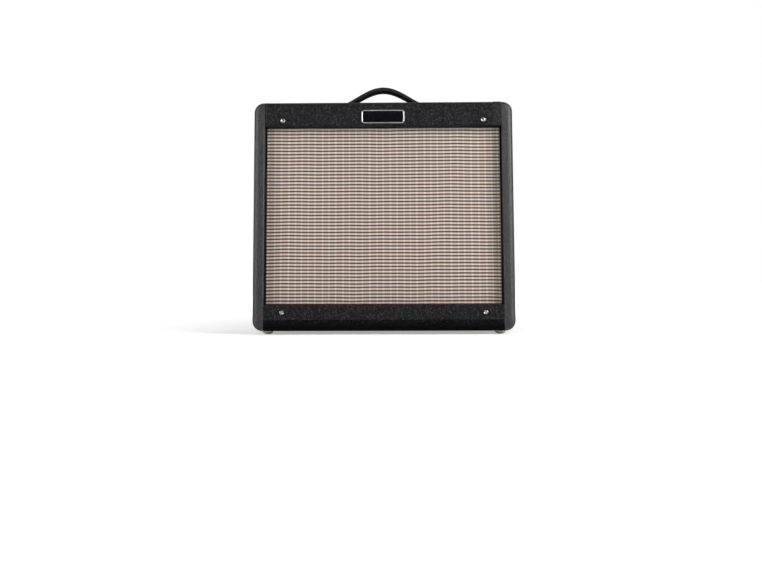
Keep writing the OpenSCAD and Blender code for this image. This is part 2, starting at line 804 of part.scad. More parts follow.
module power_transformer() {
    color("#242528") translate([power_tr_x, panel_y, chassis_z]) transformer(power_tr_w, 34);
}

module output_transformer() {
    color("#3a3b3e") translate([output_tr_x, panel_y, chassis_z]) transformer(output_tr_w, 24);
}

module mains_inlet() {
    color("#1c1c1e") translate([inlet_x, chassis_y1, rear_z]) difference() {
        union() {
            translate([-14, -18, -10]) cube([28, 18, 20]);
            translate([-25, 0, -12]) cube([50, 2.5, 24]);
        }
        // Socket with three flat contacts standing in it
        difference() {
            translate([-12.2, -15, -8]) cube([24.4, 20, 16]);
            for (x = [-7, 0, 7]) translate([x - 1, -16, -2]) cube([2, 13, 4]);
        }
    }
}

module fuse_holder() {
    color("#1c1c1e") facing_back(fuse_x, chassis_y1, rear_z) {
        translate([0, 0, -26]) cylinder(h = 27, r = 6);
        cylinder(h = 2, r = 9);
        translate([0, 0, 2]) cylinder(h = 8, r1 = 7.2, r2 = 6.4);
    }
}

// ---- Loudspeaker, drawn with its own +Z from the baffle board to the back ----

module at_speaker() {
    facing_back(0, baffle_back_y, speaker_z) children();
}

// Eight places on the rim's bolt circle
module at_bolts() {
    at_speaker() for (i = [0 : 7]) rotate([0, 0, 22.5 + i * 45]) translate([bolt_circle_r, 0, 0]) children();
}

module speaker_basket() {
    t = basket_t;
    ledge_r = wall_at(ledge_h);
    color("#3c3d40") at_speaker() difference() {
        union() {
            rotate_extrude($fn = 96) polygon([
                [wall_r, 0], [speaker_r, 0], [speaker_r, t], [wall_r + t, t], [wall_r + t, landing_h],
                [basket_foot_r + t, basket_h], [plate_bore_r + 3, basket_h], [plate_bore_r + 3, basket_h - t],
                [wall_at(basket_h - t), basket_h - t], [wall_r, landing_h]
            ]);
            // Ledge for the spider
            rotate_extrude($fn = 96) polygon([
                [ledge_r - 18, ledge_h], [ledge_r + 0.8, ledge_h], [ledge_r, ledge_h + t], [ledge_r - 18, ledge_h + t]
            ]);
            // Terminal block for the lead
            rotate([0, 0, -tab_angle]) translate([wall_at(tab_h) - 6, -9, tab_h - 4])
                cube([tab_r - wall_at(tab_h) + 6, 18, 8]);
        }
        // Windows between the eight legs
        for (i = [0 : 7]) rotate([0, 0, i * 45])
            translate([ledge_r + 2, -speaker_r * 0.125, landing_h + 4])
                cube([speaker_r, speaker_r * 0.25, ledge_h - landing_h - 8]);
        for (i = [0 : 7]) rotate([0, 0, 22.5 + i * 45])
            translate([bolt_circle_r, 0, -1]) cylinder(h = t + 2, r = screw_r + hole_gap);
    }
}

module speaker_top_plate() {
    color("#8d9094") at_speaker() translate([0, 0, motor_h]) difference() {
        cylinder(h = plate_t, r = plate_r, $fn = 96);
        translate([0, 0, -1]) cylinder(h = plate_t + 2, r = plate_bore_r);
    }
}

module speaker_magnet() {
    color("#2c2c2e") at_speaker() translate([0, 0, motor_h + plate_t]) difference() {
        cylinder(h = magnet_t, r = magnet_r, $fn = 96);
        translate([0, 0, -1]) cylinder(h = magnet_t + 2, r = plate_bore_r + 8);
    }
}

module speaker_yoke() {
    color("#8d9094") at_speaker() translate([0, 0, motor_h + plate_t + magnet_t]) {
        cylinder(h = plate_t, r = plate_r, $fn = 96);
        translate([0, 0, -magnet_t - plate_t]) cylinder(h = magnet_t + plate_t + 1, r = pole_r);
    }
}

module speaker_bolts() {
    color("#b8babd") at_bolts() {
        translate([0, 0, 1 - baffle_t]) cylinder(h = baffle_t + 7, r = screw_r);
        translate([0, 0, 2]) cylinder(h = 3.4, r = 4.4, $fn = 6);
    }
}

// Paper cone, slightly curved between its neck and its edge
module speaker_cone() {
    t = 1;
    back = [for (i = [len(cone_line) - 1 : -1 : 0]) cone_line[i] + [0, t]];
    color("#3a3632") at_speaker() rotate_extrude($fn = 96) polygon(concat(cone_line, back));
}

module dust_cap() {
    cap_r = coil_r * 1.55;
    rise = 12;
    t = 0.8;
    foot = lookup(cap_r, cone_line);
    bow = function (a, r, h) [r * sin(a), foot - h * (1 - sin(a) * sin(a))];
    outer = [for (a = [0 : 15 : 90]) bow(a, cap_r, rise)];
    inner = [for (a = [90 : -15 : 0]) bow(a, cap_r - t, rise - t)];
    color("#4a443e") at_speaker() rotate_extrude($fn = 64) polygon(concat(outer, inner));
}

// Corrugated edge between the cone and the basket's rim
module cone_surround() {
    inner_r = cone_r + 0.3;
    outer_r = wall_r;
    waves = 3;
    steps = waves * 6;
    r_at = function (i) inner_r + (outer_r - inner_r) * i / steps;
    h_at = function (i) 5.4 + 1.6 * cos(360 * i / 6);
    color("#2e2b28") at_speaker() rotate_extrude($fn = 96) polygon(concat(
        [for (i = [0 : steps]) [r_at(i), h_at(i)]],
        [for (i = [steps : -1 : 0]) [r_at(i), h_at(i) + 0.9]]
    ));
}

module speaker_spider() {
    inner_r = coil_r + 1.1;
    outer_r = wall_at(ledge_h) - 8;
    steps = 24;
    r_at = function (i) inner_r + (outer_r - inner_r) * i / steps;
    h_at = function (i) ledge_h - 1.7 + (i > 20 ? 0.8 : 0.8 * cos(360 * i / 4));
    color("#b08a4e") at_speaker() rotate_extrude($fn = 96) polygon(concat(
        [for (i = [0 : steps]) [r_at(i), h_at(i) + 0.1]],
        [for (i = [steps : -1 : 0]) [r_at(i), h_at(i) + 0.9]]
    ));
}

module voice_coil() {
    color("#b5762f") at_speaker() translate([0, 0, neck_h - 2]) difference() {
        cylinder(h = motor_h + plate_t - neck_h + 4, r = coil_r + 0.8);
        translate([0, 0, -1]) cylinder(h = motor_h + plate_t - neck_h + 6, r = coil_r);
    }
}

// ---- Reverb tank ----

module reverb_tank() {
    t = 1;
    lo = [tank_x - tank_l / 2, tank_y - tank_w / 2, floor_z];
    hi = [tank_x + tank_l / 2, tank_y + tank_w / 2, floor_z + tank_h];
    color("#9ea1a5") difference() {
        union() {
            block(lo, hi);
            block(lo - [0, 10, 0], [hi.x, hi.y + 10, floor_z + t]);
        }
        block(lo + [t, t, -1], hi - [t, t, t]);
        for (x = [-1, 1] * (tank_l / 2 - 12), s = [-1, 1])
            translate([tank_x + x, tank_y + s * (tank_w / 2 + 5), floor_z + 2]) screw_hole(4);
    }
}

// Three long coil springs and their two end brackets
module reverb_springs() {
    z = floor_z + tank_h / 2;
    half = tank_l / 2 - 24;
    color("#c0c2c4") translate([tank_x, tank_y, z]) {
        for (y = [-1, 0, 1] * tank_w / 5) translate([-half, y, 0]) rotate([0, 90, 0]) cylinder(h = 2 * half, r = 2.6);
        for (s = [-1, 1]) translate([s * half - 4 + s * 4, -tank_w * 0.3, -12]) cube([8, tank_w * 0.6, tank_h / 2 + 11]);
    }
}

// ---- Leads held inside the cabinet ----

lead_r = 1.7;
lead_holes = [[-60, chassis_y0 + 8], [-84, chassis_y0 + 8]];
tab_way = [cos(tab_angle), 0, sin(tab_angle)];
tab_point = [0, baffle_back_y + tab_h, speaker_z] + tab_r * tab_way;
lead_paths = [
    [
        [lead_holes[0].x, lead_holes[0].y, board_z], [lead_holes[0].x, lead_holes[0].y, chassis_z - 8],
        [lead_holes[0].x + 6, lead_holes[0].y - 20, chassis_z - 22], tab_point + 16 * tab_way,
        tab_point + 6 * tab_way, tab_point
    ],
    [
        [lead_holes[1].x, lead_holes[1].y, board_z], [lead_holes[1].x, lead_holes[1].y, chassis_z - 30],
        [-98, chassis_y0 + 12, speaker_z + 30], [-100, tank_y + 4, floor_z + tank_h + 60],
        [-92, tank_y, floor_z + tank_h + 10], [-92, tank_y, floor_z + tank_h]
    ]
];

function unit(v) = v / norm(v);
// Point on a smooth curve through four points, between the middle two
function smooth(a, b, c, d, t) = 0.5 * (2 * b + (c - a) * t + (2 * a - 5 * b + 4 * c - d) * t * t
    + (3 * b - a - 3 * c + d) * t * t * t);
function along(p, steps) = [
    for (i = [0 : len(p) - 2], j = [0 : steps - 1])
        smooth(p[max(i - 1, 0)], p[i], p[i + 1], p[min(i + 2, len(p) - 1)], j / steps), p[len(p) - 1]
];

// Round lead of radius r along a list of points
module lead(points, r) {
    sides = 8;
    p = along(points, 5);
    n = len(p);
    ways = [for (i = [0 : n - 1]) unit(p[min(i + 1, n - 1)] - p[max(i - 1, 0)])];
    rings = [for (i = [0 : n - 1]) let (u = unit(cross(ways[i], [0.96, 0.28, 0])), v = cross(ways[i], u))
        for (k = [0 : sides - 1]) p[i] + r * (u * cos(k * 45) + v * sin(k * 45))];
    walls = [for (i = [0 : n - 2], k = [0 : sides - 1]) let (a = i * sides, b = (k + 1) % sides)
        [a + k, a + sides + k, a + sides + b, a + b]];
    polyhedron(rings, concat([[for (k = [0 : sides - 1]) k]],
        [for (w = walls) w], [[for (k = [sides - 1 : -1 : 0]) (n - 1) * sides + k]]));
}

module internal_leads() {
    color("#191919") for (path = lead_paths) lead(path, lead_r);
}

side_panel_left();
side_panel_right();
top_panel();
bottom_panel();
upper_front_rail();
lower_front_rail();
baffle_board();
grille_cloth();
rail_screws();
cup_washers();
nameplate_frame();
nameplate_insert();
upper_back_panel();
lower_back_panel();
back_panel_screws();
panel_cleats();
glides();
handle_strap();
handle_caps();
handle_screws();
chassis();
control_panel();
chassis_screws();
pot_bodies();
panel_nuts();
volume_knob();
treble_knob();
bass_knob();
middle_knob();
master_knob();
reverb_knob();
jack_sockets();
switch_bodies();
boost_button();
power_toggle();
pilot_bezel();
pilot_jewel();
circuit_board();
filter_capacitors();
valve_sockets();
power_valves();
preamp_valves();
valve_shields();
power_transformer();
output_transformer();
mains_inlet();
fuse_holder();
speaker_basket();
speaker_top_plate();
speaker_magnet();
speaker_yoke();
speaker_bolts();
speaker_cone();
dust_cap();
cone_surround();
speaker_spider();
voice_coil();
reverb_tank();
reverb_springs();
internal_leads();
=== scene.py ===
import json
import math

import bpy
import numpy as np
from mathutils import Matrix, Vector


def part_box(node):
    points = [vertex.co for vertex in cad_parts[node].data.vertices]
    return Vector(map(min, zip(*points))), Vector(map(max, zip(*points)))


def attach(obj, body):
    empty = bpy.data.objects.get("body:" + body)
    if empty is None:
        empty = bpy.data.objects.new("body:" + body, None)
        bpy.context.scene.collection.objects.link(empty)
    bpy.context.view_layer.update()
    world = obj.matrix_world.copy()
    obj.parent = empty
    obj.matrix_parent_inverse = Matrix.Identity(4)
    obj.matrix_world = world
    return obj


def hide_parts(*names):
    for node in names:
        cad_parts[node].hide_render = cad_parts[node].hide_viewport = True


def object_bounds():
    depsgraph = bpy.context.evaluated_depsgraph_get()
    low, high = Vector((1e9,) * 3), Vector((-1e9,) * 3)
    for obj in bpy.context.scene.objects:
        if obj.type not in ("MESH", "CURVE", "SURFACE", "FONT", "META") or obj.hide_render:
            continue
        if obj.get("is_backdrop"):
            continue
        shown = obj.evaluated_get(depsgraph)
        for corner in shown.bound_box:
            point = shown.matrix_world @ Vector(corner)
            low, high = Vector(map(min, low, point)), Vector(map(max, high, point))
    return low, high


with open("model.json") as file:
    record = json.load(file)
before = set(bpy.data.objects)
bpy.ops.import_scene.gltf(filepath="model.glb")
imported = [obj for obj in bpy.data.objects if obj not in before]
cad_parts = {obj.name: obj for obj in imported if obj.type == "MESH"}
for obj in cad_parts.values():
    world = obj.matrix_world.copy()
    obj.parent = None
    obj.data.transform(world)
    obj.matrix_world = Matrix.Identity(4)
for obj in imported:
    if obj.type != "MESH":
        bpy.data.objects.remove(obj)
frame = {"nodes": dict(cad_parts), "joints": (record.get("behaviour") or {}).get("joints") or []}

bl_info = {
    "name": "Combo Guitar Amplifier",
    "version": (1, 0, 0),
    "blender": (4, 5, 0),
    "location": "View3D > Sidebar > Amplifier",
    "description": "Covers, cloth, fittings, controls, valves and loudspeaker of a combo guitar amplifier",
    "category": "Object",
}

MM = 0.001
ROW_PITCH = 6.01 * MM          # one cream row and one dark row of the cloth
ROW_SHIFT = 5.63 * MM          # height of the rows' start below the floor
THREAD_PITCH = 11.97 * MM      # from one pale upright thread to the next
STITCH_PITCH = 3.97 * MM       # brown stitches in a dark row
CAD_BOX = [list(corner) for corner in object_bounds()]
NODE_OF = frame["nodes"]


# ---------------------------------------------------------------- shared helpers

def linear(code, alpha=1.0):
    """Turns an sRGB hex colour into the linear one that shaders take."""
    part = np.array([int(code[i:i + 2], 16) for i in (1, 3, 5)]) / 255
    part = np.where(part <= 0.04045, part / 12.92, ((part + 0.055) / 1.055) ** 2.4)
    return (*part.tolist(), alpha)


def add(tree, kind, settings=None, links=None):
    """Adds one shader node. Settings are its own properties or unlinked inputs, and links say what feeds its inputs."""
    made = tree.nodes.new("ShaderNode" + kind)
    for key, value in (settings or {}).items():
        if isinstance(key, int) or key in made.inputs:
            made.inputs[key].default_value = value
        else:
            setattr(made, key, value)
    for key, source in (links or {}).items():
        socket = source.outputs[0] if isinstance(source, bpy.types.Node) else source
        tree.links.new(socket, made.inputs[key])
    return made


def join(tree, source, shader, key):
    """Feeds one of the shader's sockets from a node or a socket."""
    socket = source.outputs[0] if isinstance(source, bpy.types.Node) else source
    tree.links.new(socket, shader.inputs[key])


def ramp(tree, source, stops):
    """Turns a value into a colour or a value along stops of (position, sRGB hex or grey level)."""
    made = add(tree, "ValToRGB", links={0: source})
    band = made.color_ramp.elements
    while len(band) < len(stops):
        band.new(0.5)
    for element, (at, tone) in zip(band, stops):
        element.position = at
        element.color = linear(tone) if isinstance(tone, str) else (tone, tone, tone, 1.0)
    return made


def base(name, **values):
    """A new material with one shader, whose plain values are set on the shader's own sockets, and its coordinates."""
    made = bpy.data.materials.new(name)
    made.use_nodes = True
    tree = made.node_tree
    shader = tree.nodes["Principled BSDF"]
    for key, value in values.items():
        socket = shader.inputs[key.replace("_", " ")]
        socket.default_value = linear(value) if isinstance(value, str) else value
    return made, tree, shader, add(tree, "TexCoord")


def bump(tree, shader, height, strength, distance):
    """Gives the shader a raised pattern: height is the pattern, distance its depth in metres."""
    join(tree, add(tree, "Bump", {"Strength": strength, "Distance": distance}, {"Height": height}), shader, "Normal")


def finish(make):
    """The material that a function below makes, made once."""
    name = make.__name__
    return bpy.data.materials.get(name) or make(name)


def dress(nodes, make):
    """Gives CAD nodes a material and keeps their shape."""
    for name in nodes:
        slots = NODE_OF[name].data.materials
        slots.clear()
        slots.append(finish(make))


def span(node):
    """A CAD node's lowest corner, highest corner and middle, as arrays in metres."""
    lo, hi = (np.array(corner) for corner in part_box(node))
    return lo, hi, (lo + hi) / 2


def solids(node):
    """The box of each separate solid of a CAD node, from lowest to highest corner, in order of X and then Z.
    Triangles that share a corner point belong together: every point takes the lowest label among its
    triangles until no label changes."""
    mesh = NODE_OF[node].data
    co = np.empty(len(mesh.vertices) * 3)
    mesh.vertices.foreach_get("co", co)
    co = co.reshape(-1, 3)
    mesh.calc_loop_triangles()
    tri = np.empty(len(mesh.loop_triangles) * 3, int)
    mesh.loop_triangles.foreach_get("vertices", tri)
    _, same = np.unique(np.round(co / 2e-6).astype(np.int64), axis=0, return_inverse=True)
    tri = same.ravel()[tri].reshape(-1, 3)
    label = np.arange(same.max() + 1)
    while True:
        low = label[tri].min(1)
        new = label.copy()
        np.minimum.at(new, tri.ravel(), np.repeat(low, 3))
        new = new[new]
        if (new == label).all():
            break
        label = new
    of = label[same.ravel()]
    boxes = [(co[of == k].min(0), co[of == k].max(0)) for k in np.unique(of)]
    return sorted(boxes, key=lambda b: (round(float(b[0][0] + b[1][0]), 4), round(float(b[0][2] + b[1][2]), 4)))


# ---------------------------------------------------------------- surfaces

def skin(rings, loop=False, tone=0, uv=None):
    """A closed surface through rings of points: the ring and the place round it are its two parameters.
    With loop the last ring meets the first, and otherwise a fan to its middle closes each end ring.
    The faces are turned outwards by the sign of the volume they hold."""
    n, m = rings.shape[:2]
    points = rings.reshape(-1, 3)
    i, j = np.arange(n if loop else n - 1)[:, None], np.arange(m)[None]
    up, on = (i + 1) % n, (j + 1) % m
    quads = np.stack([i * m + j, i * m + on, up * m + on, up * m + j], -1).reshape(-1, 4)
    tris = np.empty((0, 3), int)
    if not loop:
        points = np.vstack([points, rings[[0, -1]].mean(1)])
        a, b = np.arange(m), (np.arange(m) + 1) % m
        tris = np.vstack([np.stack([np.full(m, n * m), b, a], 1),
                          np.stack([np.full(m, n * m + 1), (n - 1) * m + a, (n - 1) * m + b], 1)])
    every = np.vstack([quads[:, [0, 1, 2]], quads[:, [0, 2, 3]], tris])
    a, b, c = (points[every[:, k]] - points.mean(0) for k in range(3))
    if np.einsum("ij,ij->", a, np.cross(b, c)) < 0:
        quads, tris = quads[:, ::-1], tris[:, ::-1]
    return points, quads, tris, tone


def ring_xy(radius, sides, turn=0.0):
    """Points round a circle: (radius cos t, radius sin t)."""
    t = np.arange(sides) * 2 * math.pi / sides + turn
    return np.stack([radius * np.cos(t), radius * np.sin(t)], 1)


def lathe(profile, sides=40, loop=False, tone=0, lobes=None):
    """Turns a profile of (radius, height) rows round Z. Lobes, if given, scales the radius by the angle and the row."""
    profile = np.asarray(profile, float)
    t = np.arange(sides) * 2 * math.pi / sides
    r = np.repeat(profile[:, :1], sides, 1)
    if lobes is not None:
        r = r * lobes(t[None], np.arange(len(profile))[:, None])
    z = np.repeat(profile[:, 1:], sides, 1)
    return skin(np.stack([r * np.cos(t), r * np.sin(t), z], -1), loop, tone)


def outline(w, h, r, per=7):
    """Rectangle w by h with corners of radius r: a quarter circle at each corner, drawn anticlockwise."""
    r = min(r, w / 2 - 1e-6, h / 2 - 1e-6)
    t = np.linspace(0, math.pi / 2, per)
    corner = np.stack([np.cos(t), np.sin(t)], 1) * r
    parts = []
    for k, (sx, sy) in enumerate([(1, 1), (-1, 1), (-1, -1), (1, -1)]):
        c, s = math.cos(k * math.pi / 2), math.sin(k * math.pi / 2)
        parts.append(corner @ np.array([[c, s], [-s, c]]) + [sx * (w / 2 - r), sy * (h / 2 - r)])
    return np.vstack(parts)


def plate(w, h, r, profile, loop=False, tone=0, per=7):
    """A rounded rectangle carried up Z: each row of the profile is (how far it draws in, height)."""
    rows = [np.column_stack([outline(w - 2 * d, h - 2 * d, max(r - d, 1e-4), per),
                             np.full(4 * per, z)]) for d, z in profile]
    return skin(np.array(rows), loop, tone)


def carry(path, section, up=(0, 0, 1), scale=None, loop=False, tone=0):
    """Carries a flat section along a path. At each point the section lies square to the path, with its
    first axis along path x up and its second along their product."""
    path = np.asarray(path, float)
    along = np.roll(path, -1, 0) - np.roll(path, 1, 0) if loop else np.gradient(path, axis=0)
    along /= np.linalg.norm(along, axis=1, keepdims=True)
    side = np.cross(along, np.asarray(up, float))
    side /= np.linalg.norm(side, axis=1, keepdims=True)
    top = np.cross(side, along)
    scale = np.ones((len(path), 2)) if scale is None else np.asarray(scale)
    s = section[None] * scale[:, None]
    return skin(path[:, None] + s[..., :1] * side[:, None] + s[..., 1:] * top[:, None], loop, tone)


def put(part, at=(0, 0, 0), facing="up", spin=0.0, tone=None):
    """Moves a skin into place: its own +Z turns to face up, down, front or back, after a spin about +Z."""
    points, quads, tris, had = part
    c, s = math.cos(spin), math.sin(spin)
    turn = np.array([[c, -s, 0], [s, c, 0], [0, 0, 1]])
    face = {"up": np.eye(3), "down": np.diag([1.0, -1, -1]),
            "front": np.array([[1.0, 0, 0], [0, 0, -1], [0, 1, 0]]),
            "back": np.array([[-1.0, 0, 0], [0, 0, 1], [0, 1, 0]]),
            "right": np.array([[0, 0, 1.0], [1, 0, 0], [0, 1, 0]])}[facing]
    return points @ (face @ turn).T + np.asarray(at), quads, tris, had if tone is None else tone


def piece(name, parts, makes, body="root", instead=(), sharp=38, uv=None):
    """Joins skins into one mesh at the origin, with a material for each tone, and lets it ride on a body."""
    points, faces, sizes, tones, start = [], [], [], [], 0
    for co, quads, tris, tone in parts:
        points.append(co)
        for block in (quads, tris):
            faces.append((block + start).ravel())
            sizes.append(np.full(len(block), block.shape[1]))
            tones.append(np.full(len(block), tone))
        start += len(co)
    points, faces, sizes, tones = (np.concatenate(x) for x in (points, faces, sizes, tones))
    mesh = bpy.data.meshes.new(name)
    mesh.vertices.add(len(points))
    mesh.vertices.foreach_set("co", points.ravel())
    mesh.loops.add(len(faces))
    mesh.loops.foreach_set("vertex_index", faces.astype(np.int32))
    mesh.polygons.add(len(sizes))
    mesh.polygons.foreach_set("loop_start", (np.cumsum(sizes) - sizes).astype(np.int32))
    mesh.polygons.foreach_set("material_index", tones.astype(np.int32))
    if uv is not None:
        layer = mesh.uv_layers.new(name="thread")
        layer.data.foreach_set("uv", uv[faces].astype(np.float32).ravel())
    mesh.update(calc_edges=True)
    mesh.validate()
    mesh.shade_smooth()
    mesh.set_sharp_from_angle(angle=math.radians(sharp))
    for make in makes:
        mesh.materials.append(finish(make))
    made = bpy.data.objects.new(name, mesh)
    bpy.context.collection.objects.link(made)
    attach(made, body)
    if instead:
        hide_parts(*instead)
    return made


# ---------------------------------------------------------------- finishes: covers and cloth

def pebbled_vinyl(name, tone="#49494e", gloss=0.14, low="#070708", smooth=(0.46, 0.6), depth=0.0011, fade=None):
    """Black PVC cover stretched on the boards, embossed with a pebble grain: a soft, broken sheen, partly painted as
    lighter crowns on random pebbles.
    Real pebbles are about 1.2 mm, drawn here at 2.4 mm so that the grain still shows from 1.5 m. smooth is the
    range of its roughness, depth how far the grain stands up, and fade the two heights between which the cover
    goes from a painted shade, near black, to its own colour."""
    made, tree, shader, coords = base(name, Roughness=0.52, Specular_IOR_Level=gloss, IOR=1.52)
    place = coords.outputs["Object"]
    bent = add(tree, "TexNoise", {"Scale": 210.0, "Detail": 2.0}, {"Vector": place})
    moved = add(tree, "VectorMath", {"operation": "MULTIPLY_ADD", 1: (0.0016,) * 3},
                {0: bent.outputs["Color"], 2: place})
    pebble = add(tree, "TexVoronoi", {"feature": "SMOOTH_F1", "Scale": 415.0, "Smoothness": 0.3}, {"Vector": moved})
    fine = add(tree, "TexNoise", {"Scale": 1800.0, "Detail": 2.0}, {"Vector": place})
    cloud = add(tree, "TexNoise", {"Scale": 34.0, "Detail": 3.0, "Roughness": 0.6}, {"Vector": place})
    height = add(tree, "Math", {"operation": "MULTIPLY_ADD", 1: -1.0},
                 {0: pebble.outputs["Distance"], 2: fine.outputs[0]})
    bump(tree, shader, height, 1.0, depth)
    fleck = add(tree, "TexNoise", {"Scale": 400.0, "Detail": 1.5, "Roughness": 0.7}, {"Vector": place})
    # partly random tone and partly painted highlight: the crowns of randomly flecked pebbles are painted lighter, as
    # painted glints on the grain
    broken = add(tree, "Math", {"operation": "MULTIPLY"},
                 {0: ramp(tree, pebble.outputs["Distance"], [(0.1, 1.0), (0.62, 0.12)]),
                  1: ramp(tree, fleck.outputs[0], [(0.43, 0.0), (0.6, 1.0)])})
    dark = add(tree, "Mix", {"data_type": "RGBA", 6: linear(low), 7: linear(tone)}, {0: broken})
    wear_and_painted_shade = add(tree, "Mix", {"data_type": "RGBA", 7: linear("#26262a")},
               {0: ramp(tree, cloud.outputs[0], [(0.42, 0.0), (0.72, 0.3)]), 6: dark.outputs[2]})
    # painted shade: with fade, the colour darkens to near black (#050506) towards the bottom, standing in for the
    # shadow under the cabinet
    if fade:
        high = add(tree, "SeparateXYZ", links={0: place})
        lit = add(tree, "Math", {"operation": "MULTIPLY_ADD", "use_clamp": True, 1: 1 / (fade[1] - fade[0]),
                                 2: -fade[0] / (fade[1] - fade[0])}, {0: high.outputs[2]})
        wear_and_painted_shade = add(tree, "Mix", {"data_type": "RGBA", 6: linear("#050506")}, {0: lit, 7: wear_and_painted_shade.outputs[2]})
    join(tree, wear_and_painted_shade.outputs[2], shader, "Base Color")
    join(tree, ramp(tree, cloud.outputs[0], [(0.3, smooth[0]), (0.7, smooth[1])]), shader, "Roughness")
    return made


def wrapped_vinyl(name):
    """The same cover where it is pulled round the side boards: stretched flatter, so it shines a little more."""
    return pebbled_vinyl(name, "#3b3b40", 0.72, "#09090b", (0.34, 0.44), 0.0004)


def lapped_vinyl(name):
    """The cover where two sheets overlap: pressed flat with glue, between the dull boards and the stretched sides."""
    return pebbled_vinyl(name, "#48484d", 0.25, "#0b0b0c")


def shaded_base_vinyl(name):
    """The cover under the cabinet as painted shade: a darker copy of the cover, nearly without shine, that darkens to
    near black towards the bottom, standing in for the shadow under the cabinet.
    """
    top = span("bottom_panel")[1][2]
    # painted shade: a darker copy of the cover that fades to near black over its lowest 13 mm
    return pebbled_vinyl(name, "#3a3a3e", 0.04, "#050506", fade=(top - 13 * MM, top + 2 * MM))


def moulded_vinyl(name):
    """Vinyl moulded over the handle's steel core: smoother than the cover, with a fine leather grain of 0.8 mm."""
    made, tree, shader, coords = base(name, Base_Color="#0f0f10", Roughness=0.42, Specular_IOR_Level=0.5, IOR=1.5)
    grain = add(tree, "TexVoronoi", {"Scale": 1250.0, "feature": "SMOOTH_F1", "Smoothness": 0.4},
                {"Vector": coords.outputs["Object"]})
    crease = add(tree, "TexNoise", {"Scale": 300.0, "Detail": 4.0}, {"Vector": coords.outputs["Object"]})
    bump(tree, shader, add(tree, "Math", {"operation": "ADD"}, {0: grain.outputs[0], 1: crease.outputs[0]}), 0.35,
         0.0003)
    join(tree, ramp(tree, crease.outputs[0], [(0.35, 0.34), (0.7, 0.5)]), shader, "Roughness")
    return made


